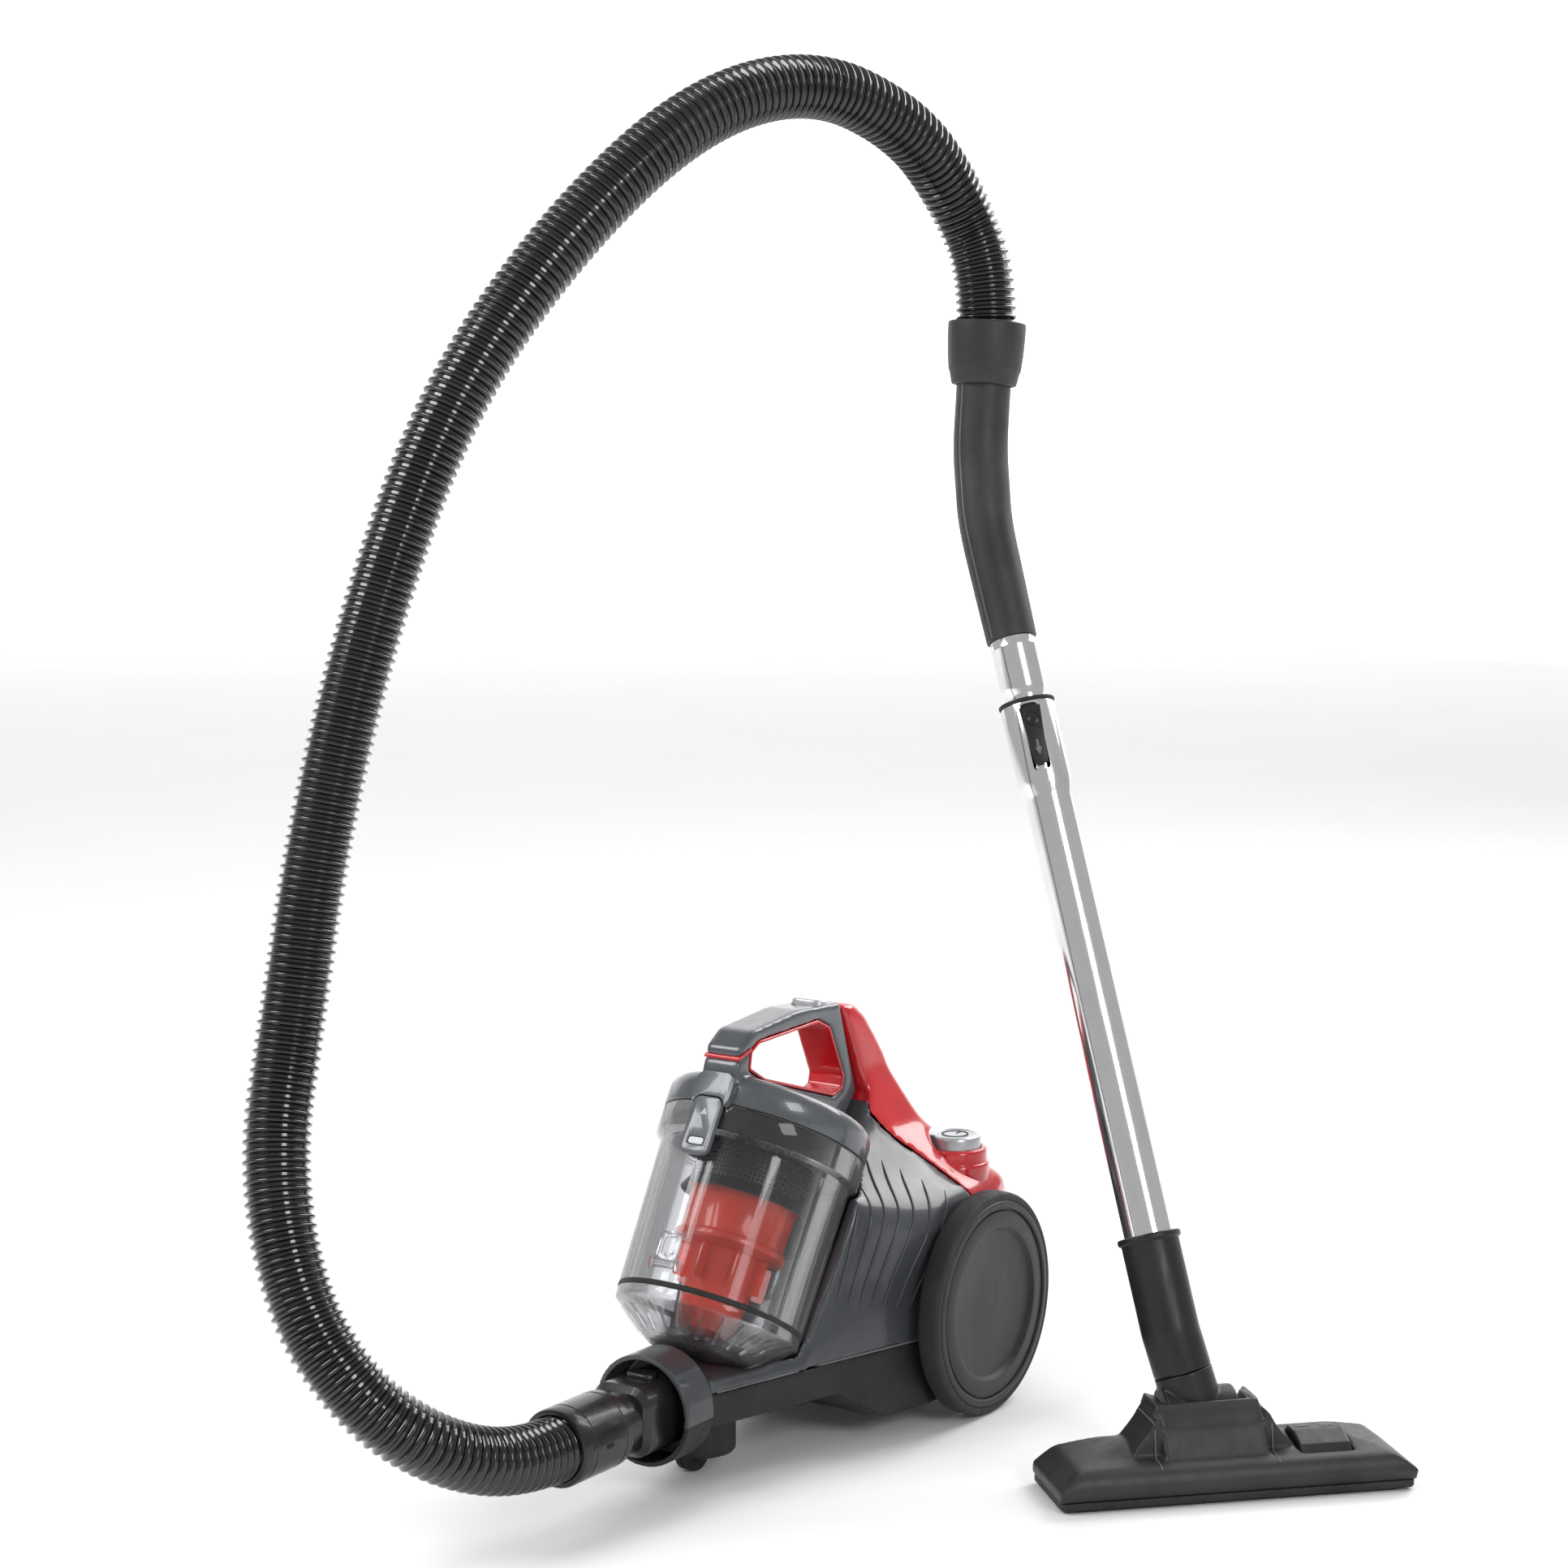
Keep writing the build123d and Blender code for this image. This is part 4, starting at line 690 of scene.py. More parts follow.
@dataclass
class Hull:
    """The canister's mouldings: base, smoked side shell with ribs, red cover and its pedals."""

    rib_radius: float = 1.3
    rib_bow: float = 16.0
    rib_steps: int = 16
    axle_height: float = 86.5
    wheel_room: float = 88.0
    flank_x: float = 70.0
    cup_room: float = 81.0
    lid_top: float = 165.0
    seam_height: float = 70.0
    pedal_x: float = 58.0
    pedal_y: float = 36.0
    pedal_top: float = 207.0

    def build(self) -> None:
        """Model and dress every piece of the hull."""
        base = recast("base_tray", "base_moulding", 1.7, 6)
        dress(base, Look.BASE, "canister", "base_tray")
        shell = recast("side_shell", "side_moulding", 1.9, 4)
        ease(shell, self.from_shell_edges, 420)
        dress(shell, Look.SHELL, "canister", "side_shell")
        cover = recast("rear_cover", "red_cover_moulding", 1.4, 8)
        ease(cover, self.from_cover_edges, 150, 7)
        dress(cover, Look.RED, "canister", "rear_cover")
        self.ribs(shell)
        self.seam(shell)
        self.pedals()
        self.caster()
        self.rear()

    def flank(self, shell: Piece, side: int, y: float, z: float, lift: float) -> Optional[Vector]:
        """A point on one flank of the shell at a canister (y, z)."""
        start = CANISTER @ Vector((side * 0.2, y * MM, z * MM))
        return surface_point(shell, start, Vector((-side, 0, 0)), lift)

    def from_cover_edges(self, point: Vector) -> float:
        """How far a canister point is from the red cover's lower edge and from the cup's room."""
        return min(off_line(point.y, point.z, COVER_EDGE), self.from_cup(point))

    def from_shell_edges(self, point: Vector) -> float:
        """How far a canister point is from the shell's seams, the cup's room and the wheels."""
        wheel = hypot(point.y, point.z - self.axle_height) - self.wheel_room
        return min(off_line(point.y, point.z, COVER_EDGE), self.from_cup(point),
                   abs(point.z - self.seam_height), max(0.0, wheel) if abs(point.x) > self.flank_x else FAR)

    def from_cup(self, point: Vector) -> float:
        """How far a canister point is outside the cup and lid."""
        local = CUP.inverted() @ CANISTER @ (point * MM) / MM
        return max(0.0, hypot(local.x, local.y) - self.cup_room) if local.z < self.lid_top else FAR

    def ribs(self, shell: Piece) -> None:
        """Fine raised ribs on both flanks, leaning with the cup."""
        bars = []
        for side in (1, -1):
            for index, ((low_y, low_z), (high_y, high_z)) in enumerate(RIBS):
                points = []
                for step in range(self.rib_steps + 1):
                    share = step / self.rib_steps
                    y = low_y + (high_y - low_y) * share - self.rib_bow * share * (1 - share)
                    point = self.flank(shell, side, y, low_z + (high_z - low_z) * share, 0.0)
                    if point:
                        points.append(point)
                if len(points) > 4:
                    sizes = [0.3] + [self.rib_radius] * (len(points) - 2) + [0.3]
                    bars.append(pipe(f"rib_{side}_{index}", points, sizes, 3))
        piece = joined("shell_ribs", *bars)
        bpy.ops.object.shade_smooth()
        dress(piece, Look.SHELL, "canister")

    def seam(self, shell: Piece) -> None:
        """The bright parting bead between shell and base on both flanks."""
        bars = []
        for side in (1, -1):
            points = []
            for step in range(40):
                point = self.flank(shell, side, -262 + step * 8.6, self.seam_height + 0.9, 0.05)
                if point:
                    points.append(point)
            bars.append(pipe(f"seam_{side}", points, [0.9], 2))
        piece = joined("shell_seam", *bars)
        bpy.ops.object.shade_smooth()
        dress(piece, Look.SEAM, "canister")

    def pedals(self) -> None:
        """Round silver pedals on stepped red bosses, each with a plain ring or cord mark."""
        for side, name in ((1, "power_pedal"), (-1, "rewind_pedal")):
            place = CANISTER @ frame_at((side * self.pedal_x, self.pedal_y, 0))
            top = self.pedal_top
            cap = turned(f"{name}_cap", [
                (0, 178), (20.2, 178), (20.4, top - 3.5), (19.6, top - 1.6), (17.8, top - 0.6),
                (15.5, top - 0.6), (14.8, top - 1.2), (0, top - 1.0),
            ], 96)
            soften(cap, 0.3, 2, 25)
            dress(settle(cap, place), Look.SILVER, f"{name}_set", name)
            ring = [(10.6, top - 1.0), (10.6, top - 0.7), (9.4, top - 0.7), (9.4, top - 1.0)]
            mark = turned(f"{name}_mark", ring, 64)
            bar = slab("bar", rounded(1.3, 8, 0.5, 3), 0.35)
            settle(bar, frame_at((0, 6 if side == 1 else 0, top - 1.05)))
            mark = joined(f"{name}_mark", mark, bar)
            dress(settle(mark, place), Look.DARK, f"{name}_set")
            boss = turned(f"{name}_boss", [
                (21, 160), (21, 196.4), (22.2, 197), (24.6, 196.2), (25.4, 194.5), (25.4, 186), (26.4, 185.2),
                (27.2, 183.5), (27.2, 160),
            ], 96)
            soften(boss, 0.4, 2, 25)
            dress(settle(boss, place), Look.RED, "canister")

    def caster(self) -> None:
        """Front caster: moulded fork and a small grooved roller."""
        place = CANISTER @ frame_at((-7.4, -239, 13), (1, 0, 0), (0, 1, 0))
        roller = turned("caster_roller_tyre", [
            (2.1, 0), (9, 0.2), (12.2, 0.6), (13, 2), (13, 6.2), (12.4, 6.8), (12.4, 8), (13, 8.6), (13, 12.8),
            (12.2, 14.2), (9, 14.6), (2.1, 14.8),
        ], 64)
        soften(roller, 0.3, 2, 25)
        dress(settle(roller, place), Look.RUBBER, "caster_roller", "caster_wheel")
        fork = recast("caster_fork", "caster_fork_moulding", 0.5, 4)
        dress(fork, Look.BASE, "caster", "caster_fork")

    def rear(self) -> None:
        """Exhaust grille with curved slats, and the sleeve where the mains lead comes out."""
        slats = []
        for row in range(6):
            bar = slab("slat", rounded(76, 2.2, 1.0, 3), 3.0)
            slats.append(settle(bar, CANISTER @ frame_at((0, 97.2, 89 + 6.2 * row), (0, -1, -0.25))))
        surround = slab("surround", rounded(84, 42, 7), 4)
        hole = slab("hole", rounded(76, 35, 5), 12)
        settle(hole, frame_at((0, 0, -4)))
        cut(surround, hole)
        slats.append(settle(surround, CANISTER @ frame_at((0, 98.0, 105), (0, -1, 0))))
        grille = joined("exhaust_slats", *slats)
        soften(grille, 0.3, 2, 30)
        dress(grille, Look.BASE, "canister")
        dress_node("exhaust_grille", Look.BASE)
        sleeve = turned("lead_sleeve", [
            (4.1, -3), (4.1, 2.6), (6.5, 2.8), (8.8, 2.2), (9.8, 1), (9.8, -0.5), (8.6, -1), (8.6, -3),
        ], 48)
        soften(sleeve, 0.3, 2, 25)
        dress(settle(sleeve, CANISTER @ frame_at((58, 97.0, 50), (0, 1, 0))), Look.RUBBER, "canister")


@dataclass
class Cup:
    """The clear dust cup with its emptying door and catch, and the cyclone inside it."""

    low_radius: float = 70.0
    top_radius: float = 73.5
    rim_radius: float = 78.5
    height: float = 139.0
    wall: float = 2.2
    hopper_radius: float = 38.0
    hopper_depth: float = 31.0
    shroud_radius: float = 44.0
    hole_rows: int = 12
    hole_columns: int = 84
    shroud_length: float = 40.0
    vane_count: int = 8
    facet_count: int = 24

    def build(self) -> None:
        """Model and dress every piece of the cup."""
        self.wall_and_door()
        self.catch()
        self.cyclone()

    def wall_and_door(self) -> None:
        """Clear wall with a flanged rim, black gasket, and the clear faceted hopper below."""
        low, top, rim, wall = self.low_radius, self.top_radius, self.rim_radius, self.wall
        body = turned("cup_wall", [
            (low, 4), (low + 0.8, 5), (top - 0.3, 112), (top, 115), (top + 2.2, 117), (rim - 0.8, 118),
            (rim, 119.4), (rim, 138), (rim - 0.5, 138.8), (rim - wall, 138.8), (rim - wall, 120),
            (top - wall, 117), (top - wall - 0.4, 112), (low - wall, 5), (low - wall, 4),
        ], 160)
        soften(body, 0.3, 2, 30)
        dress(settle(body, CUP), Look.CLEAR, "cup", "dust_cup")
        hoop = turned("cup_gasket", [
            (low - 3.6, 0.2), (low + 0.4, 0.2), (low + 0.7, 1), (low + 0.7, 3.2), (low + 0.3, 3.9),
            (low - 3.6, 3.9),
        ], 128)
        dress(settle(soften(hoop, 0.3), CUP), Look.RUBBER, "cup", "door_seal")
        band = turned("rim_band", [
            (rim - 6.2, 121), (rim - 2.6, 121), (rim - 2.6, 137.5), (rim - 6.2, 137.5)], 128)
        dress(settle(soften(band, 0.3), CUP), Look.DARK, "cup", "lid_seal")
        small, deep = self.hopper_radius, self.hopper_depth
        door = turned("hopper_door", [
            (low, -0.2), (low + 0.3, -2), (low, -7.4), (low - 3, -9.6), (small + 6, -deep + 4), (small, -deep),
            (0, -deep), (0, -deep + 2.4), (small - 1, -deep + 2.4), (small + 4, -deep + 6.2), (low - 5.5, -8.6),
            (low - 2.6, -6.6), (low - 2.6, -0.2),
        ], 96)
        soften(door, 0.5, 2, 25)
        facets = []
        middle = (low + small) / 2
        for index in range(self.facet_count):
            turn = 2 * pi * index / self.facet_count
            x, y = cos(turn), sin(turn)
            place = frame_at((middle * x, middle * y, -19.5), (x * 0.62, y * 0.62, -0.78), (-y, x, 0))
            facets.append(settle(slab("facet", rounded(2.0, 22, 0.9, 3), 1.4), place))
        facets.append(turned("drip_ring", [
            (24, -deep + 2.2), (26, -deep + 2.2), (26, -deep + 12), (24, -deep + 12)], 64))
        door = joined("hopper_door", door, *facets)
        soften(door, 0, 1, 30)
        dress(settle(door, CUP), Look.CLEAR, "cup", "bottom_door")

    def catch(self) -> None:
        """Clear loop catch with a coiled barrel, hinged between two lugs at the front."""
        out = self.low_radius + 4.2
        barrel = []
        for step in range(6):
            coil = turned("coil", [
                (1.7, 0), (2.9, 0.2), (3.3, 0.8), (3.3, 1.7), (2.9, 2.3), (1.7, 2.5)], 32)
            barrel.append(settle(coil, frame_at((-8 + 2.7 * step, -out, 15.5), (1, 0, 0), (0, 1, 0))))
        loop = slab("loop", rounded(18, 22, 3.5, 5), 2.2)
        hole = slab("hole", rounded(11, 12, 2.5, 5), 8)
        settle(hole, frame_at((0, 1, -3)))
        cut(loop, hole)
        barrel.append(settle(loop, frame_at((0, -out + 1.1, 28), (0, -1, 0))))
        edge = [Vector((x, -out - 1.3, 38.2)) * MM for x in (-8, -4, 0, 4, 8)]
        barrel.append(pipe("lip", edge, [0.8, 1.3, 1.3, 1.3, 0.8], 3))
        piece = joined("cup_catch_loop", *barrel)
        soften(piece, 0.3, 2, 30)
        dress(settle(piece, CUP), Look.CLEAR, "cup_door_catch", "door_catch")
        lugs = []
        for side in (1, -1):
            lug = slab("lug", rounded(7, 9, 2.5, 4), 2.6)
            lugs.append(settle(lug, frame_at((side * 11 - 1.3, -out + 1.2, 15.5), (1, 0, 0), (0, 1, 0))))
        piece = joined("catch_lugs", *lugs)
        soften(piece, 0.3, 2, 30)
        dress(settle(piece, CUP), Look.CLEAR, "cup")

    def cyclone(self) -> None:
        """Black perforated shroud, red stepped cone and foam."""
        top, span = self.height - 2, self.shroud_length
        foot = top - span - 4
        rest()
        bpy.ops.mesh.primitive_cylinder_add(
            vertices=self.hole_columns, radius=self.shroud_radius * MM, depth=span * MM,
            end_fill_type="NOTHING", location=(0, 0, (foot + span / 2) * MM))
        mesh = bpy.context.object
        mesh.name = "shroud_mesh"
        bpy.ops.object.transform_apply(location=True, rotation=True, scale=True)
        for row in range(1, self.hole_rows):
            edit_all(mesh)
            height = foot + span * row / self.hole_rows
            bpy.ops.mesh.bisect(plane_co=(0, 0, height * MM), plane_no=(0, 0, 1))
            bpy.ops.object.mode_set(mode="OBJECT")
        edit_all(mesh, "FACE")
        bpy.ops.mesh.inset(thickness=0.75 * MM, use_individual=True)
        bpy.ops.mesh.delete(type="FACE")
        bpy.ops.object.mode_set(mode="OBJECT")
        modify(mesh, "SOLIDIFY", thickness=1.2 * MM, offset=-1)
        cap = turned("cap", [
            (30, top - 2), (71.5, top - 2), (72, top - 2.6), (72, top - 5), (71, top - 5.6), (46, top - 5.6),
            (45, top - 9), (43.4, top - 9), (43.4, top - 5), (30, top - 4.4),
        ], 128)
        skirt = turned("skirt", [
            (42.6, top - 43), (44.6, top - 43), (48, top - 49), (49, top - 50.5), (48.4, top - 51.5),
            (46, top - 50), (42.6, top - 45.5),
        ], 96)
        shroud = joined("cyclone_shroud", mesh, cap, skirt)
        soften(shroud, 0, 1, 30)
        dress(settle(shroud, CUP), Look.BASE, "cup", "mesh_shroud")
        cone = turned("cyclone_cone_shell", [
            (42.2, 91), (43, 90), (40.4, 84), (39.4, 56), (42.6, 54.6), (42.9, 50), (40.5, 48.6), (27.4, 46),
            (25.6, 14), (21.6, -14), (20, -14), (24, 14.4), (25.8, 47.4), (38.4, 50.4), (37.6, 57), (38.6, 84),
            (40.8, 90.4),
        ], 96)
        soften(cone, 0.4, 2, 25)
        vanes = []
        for index in range(self.vane_count):
            turn = 2 * pi * index / self.vane_count
            vane = slab("vane", rounded(26, 10, 2, 3), 1.3)
            place = frame_at((31 * cos(turn), 31 * sin(turn), 33), (-sin(turn), cos(turn), 0), (0, 0, 1))
            vanes.append(settle(vane, place))
        cone = joined("cyclone_cone_shell", cone, *vanes)
        soften(cone, 0, 1, 30)
        dress(settle(cone, CUP), Look.CONE, "cup", "cyclone_cone")
        core = turned("cone_core", [(0, 88), (33, 88), (33, 60), (21, 50), (19, 12), (0, 8)], 64)
        dress(settle(soften(core, 0.8), CUP), Look.RED, "cup")
        dress_node("foam_filter", Look.FOAM)


@dataclass
class Lid:
    """The grey lid with its carrying handle, red liner and band, front catch and silver button."""

    radius: float = 78.5
    low: float = 139.0

    def build(self) -> None:
        """Model and dress every piece of the lid."""
        crown = recast("cup_lid", "lid_moulding", 1.2, 40)
        dress(crown, Look.LID, "cup", "cup_lid")
        low, rim = self.low, self.radius
        skirt = turned("lid_skirt", [
            (rim - 3.5, low + 0.8), (rim - 0.4, low + 0.8), (rim, low + 1.4), (rim + 0.1, low + 14.5),
            (rim - 0.5, low + 18), (rim - 1.8, low + 21), (rim - 4.2, low + 23.6), (rim - 8, low + 25.3),
            (rim - 14, low + 26.5), (rim - 20, low + 27), (rim - 20, low + 24), (rim - 6, low + 18),
            (rim - 3.5, low + 12),
        ], 160)
        dress(settle(soften(skirt, 0.2, 2, 40), CUP), Look.LID, "cup")
        liner = recast("handle_liner", "handle_liner_moulding", 0.9, 5)
        dress(liner, Look.RED, "cup", "handle_liner")
        band = recast("handle_band", "handle_band_moulding", 0.6, 2)
        dress(band, Look.RED, "cup", "handle_band")
        bead = turned("lid_joint", [
            (rim - 4, low - 0.2), (rim - 0.4, low - 0.2), (rim - 0.4, low + 0.8), (rim - 4, low + 0.8)], 128)
        dress(settle(bead, CUP), Look.DARK, "cup")
        self.front_catch()
        self.button()

    def front_catch(self) -> None:
        """Pull tab with a triangle, a small window and a raised surround."""
        face = frame_at((0, -self.radius - 0.3, 119), (0, -1, 0))
        tab = slab("tab", rounded(25, 44, 6, 8), 4.6)
        scoop = slab("scoop", rounded(14, 6, 2, 4), 4)
        settle(scoop, frame_at((0, -12, 3.2)))
        cut(tab, scoop)
        soften(tab, 1.2, 3, 35)
        dress(settle(joined("lid_catch_tab", tab), CUP @ face), Look.LID, "cup_lid_catch", "lid_catch")
        pane = slab("catch_window", rounded(12.6, 5, 1.6, 4), 0.8)
        dress(settle(pane, CUP @ face @ frame_at((0, -12, 3.3))), Look.WINDOW, "cup_lid_catch")
        arrow = slab("catch_arrow", [(-3.2, 0), (3.2, 0), (0, 5)], 0.3)
        dress(settle(arrow, CUP @ face @ frame_at((0, 8, 4.5))), Look.MARK, "cup_lid_catch")
        surround = slab("surround", rounded(34, 27, 9, 8), 7)
        settle(surround, frame_at((0, 28.5, -3)))
        gap = slab("gap", rounded(26.4, 46, 6.6, 8), 14)
        settle(gap, frame_at((0, 0, -5)))
        cut(surround, gap)
        soften(surround, 1.6, 3, 35)
        surround.name = "catch_surround"
        dress(settle(surround, CUP @ face), Look.LID, "cup")

    def button(self) -> None:
        """Oval silver release button in its recess on top of the handle."""
        place = CANISTER @ frame_at((0, -82, 330), (0, 0.2, 1), (1, 0, 0))
        top = slab("handle_release_button", rounded(29.2, 16.2, 8, 10), 10)
        soften(top, 1.8, 4, 35)
        groove = turned("groove", [(5.2, -3), (6.0, -3), (6.0, 1), (5.2, 1)], 48)
        settle(groove, frame_at((0, 0, 9.7)))
        cut(top, groove)
        settle(top, frame_at((0, 0, -14)))
        dress(settle(top, place), Look.SILVER, "handle_button", "release_button")


@dataclass
class HoseEnds:
    """Inlet collar, hose connector with its key, and the swivelling cuff."""

    cuff_radius: float = 28.0
    cuff_front: float = 134.0
    cuff_length: float = 56.0
    bore: float = 16.0
    neck: float = 22.0
    spigot: float = 19.4
    block: float = 51.6
    chamfer: float = 4.5

    def build(self) -> None:
        """Model and dress every piece at the nose."""
        lower = recast("inlet_collar", "collar_lower", 0.9, 5)
        dress(lower, Look.BASE, "canister", "inlet_collar")
        hood = recast("collar_hood", "collar_upper", 0.9, 5)
        dress(hood, Look.SHELL, "canister", "collar_hood")
        self.connector()
        key = slab("connector_release_key", rounded(23.2, 13.2, 6.4, 8), 6)
        soften(key, 1.6, 3, 35)
        place = CANISTER @ frame_at((0, -300, 83.2))
        dress(settle(key, place), Look.CUFF, "connector_key", "connector_button")
        self.cuff()

    def connector(self) -> None:
        """Rounded square connector with a chamfered face, on a spigot and a round neck."""
        bore, neck, spigot, width = self.bore, self.neck, self.spigot, self.block
        block = slab("block", rounded(width, width, 15, 8), width)
        soften(settle(block, frame_at((0, 0, 8.2))), self.chamfer, 1, 60)
        core = turned("core", [(0, -10), (bore, -10), (bore, 100), (0, 100)], 64)
        recess = slab("recess", rounded(24.4, 14.4, 7.1, 8), 12)
        settle(recess, frame_at((0, 21, 32), (0, 1, 0)))
        cut(block, core, recess)
        ring = turned("ring", [(bore, 57), (neck, 57), (neck, 89.8), (bore, 89.8)], 96)
        stub = turned("spigot", [(bore, -4), (spigot, -4), (spigot, 9), (bore, 9)], 96)
        body = soften(joined("connector_body", block, ring, stub), 0, 1, 30)
        dress(settle(body, NOSE), Look.CUFF, "canister", "hose_connector")

    def cuff(self) -> None:
        """Glossy cuff with a rounded front lip and two fine grooves; a small near-black slab on its side is
        painted shade standing in for a slot.
        """
        back, front, radius = self.cuff_front - self.cuff_length, self.cuff_front, self.cuff_radius
        body = turned("hose_cuff_shell", [
            (22.1, back), (radius - 1.2, back), (radius - 0.2, back + 1), (radius, back + 7),
            (radius - 0.5, back + 7.6), (radius - 0.5, back + 8.4), (radius, back + 9),
            (radius, front - 14.4), (radius - 0.5, front - 13.8), (radius - 0.5, front - 13),
            (radius, front - 12.4),
            (radius, front - 2), (radius - 0.6, front - 0.6), (radius - 2, front), (24.2, front),
            (23.9, front - 1), (23.9, front - 10), (22.1, front - 10.5),
        ], 128)
        soften(body, 0, 1, 24)
        dress(settle(body, NOSE), Look.CUFF, "cuff", "hose_cuff")
        # No slot is cut here: this thin near-black slab on the cuff's side paints the shade of the slot's
        # hollow.
        slot = slab("cuff_slot_painted_shade", rounded(3.4, 8, 1.5, 4), 1.2)
        settle(slot, frame_at((radius - 0.9, 0, (back + front) / 2), (1, 0, 0), (0, 1, 0)))
        dress(settle(soften(slot, 0.3), NOSE), Look.DARK, "cuff")


@dataclass
class Hose:
    """The corrugated hose: one rib repeated along a smooth line through the listed points."""

    diameter: float = 47.0
    root: float = 20.7
    pitch: float = 6.6
    length: float = 1.56
    sides: int = 36

    def line(self) -> Piece:
        """The smooth line the hose follows, as a NURBS curve with no bevel."""
        rest()
        bpy.ops.curve.primitive_nurbs_path_add(radius=1)
        path = bpy.context.object
        path.data.splines.clear()
        spline = path.data.splines.new("NURBS")
        spline.points.add(len(HOSE_POINTS) - 1)
        for knot, point in zip(spline.points, HOSE_POINTS):
            knot.co = (*(Vector(point) * MM), 1)
        spline.order_u = 3
        spline.use_endpoint_u = True
        path.data.dimensions = "3D"
        path.data.resolution_u = 24
        return path

    def build(self) -> None:
        path = self.line()
        trace = bpy.data.meshes.new_from_object(path)
        points = [vertex.co.copy() for vertex in trace.vertices]
        bpy.data.meshes.remove(trace)
        length = sum((b - a).length for a, b in zip(points, points[1:]))
        LOG.info("hose line %.4f m", length)
        count = int(length / (self.pitch * MM)) - 1
        pitch = length / MM / (count + 0.001)
        crest, root = self.diameter / 2, self.root
        rib = turned("hose_shell", [
            (root, 0), (root, pitch * 0.16), (root + 0.9, pitch * 0.24), (crest - 0.7, pitch * 0.36),
            (crest - 0.1, pitch * 0.45), (crest - 0.1, pitch * 0.57), (crest - 0.7, pitch * 0.66),
            (root + 0.9, pitch * 0.8), (root, pitch * 0.88), (root, pitch),
        ], self.sides, shut=False)
        modify(rib, "ARRAY", count=count, use_relative_offset=False, use_constant_offset=True,
               constant_offset_displace=(0, 0, pitch * MM), use_merge_vertices=True, merge_threshold=1e-5)
        modify(rib, "CURVE", object=path, deform_axis="POS_Z")
        take(rib)
        bpy.ops.object.mode_set(mode="EDIT")
        bpy.ops.mesh.select_mode(type="EDGE")
        bpy.ops.mesh.select_all(action="DESELECT")
        bpy.ops.mesh.select_non_manifold()
        bpy.ops.mesh.edge_face_add()
        outward()
        bpy.ops.object.shade_smooth_by_angle(angle=radians(50))
        bpy.data.objects.remove(path)
        dress(rib, Look.HOSE, "canister", "hose")


@dataclass
class Grip:
    """The bent hand grip and the flared collar that the hose turns in."""

    radius: float = 21.0
    tube_top: float = 531.0

    def build(self) -> None:
        """Model and dress the grip, its seams and the flared collar."""
        lean = Vector(TUBE_LEAN).normalized()
        foot = CANISTER @ (Vector(NECK_POINT) * MM) + lean * self.tube_top * MM
        low = foot + lean * 95 * MM
        entry = Vector((0, 6, 60)).normalized()
        crest = Vector((-107.8, 213.5, 812)) * MM - entry * 0.3 * MM
        high = crest - entry * 70 * MM
        middle = low.lerp(high, 0.5)
        line = [foot, foot.lerp(low, 0.5), low, middle, high, high.lerp(crest, 0.5), crest]
        sizes = [19.4, 20.3, 20.8, 21.0, 21.0, 20.9, 20.9]
        body = pipe("grip_moulding", line, sizes, 14)
        bpy.ops.object.shade_smooth_by_angle(angle=radians(40))
        dress(body, Look.GRIP, "canister", "handle_grip")
        side = (high - low).cross(entry).normalized()
        seams = []
        for sign in (1, -1):
            points = [p + side * sign * (size + 0.05) * MM for p, size in zip(line, sizes)]
            seams.append(pipe("seam", points, [0.7], 2))
        seams = joined("grip_seams", *seams)
        bpy.ops.object.shade_smooth()
        dress(seams, Look.SEAM, "canister")
        flare = turned("grip_flare", [
            (21.1, -22), (23.8, -22), (25, -21.2), (27, -12), (27.6, -11.4), (27.6, -10.6), (28, -10), (29.2, 2),
            (29.8, 14), (30, 25), (29.4, 26), (28.2, 26), (27.6, 25), (26.8, 12), (24.6, 3.4), (24.2, -0.4),
            (21.1, -0.4),
        ], 128)
        soften(flare, 0.3, 2, 25)
        dress(settle(flare, HOSE_END), Look.GRIP, "collar", "grip_collar")


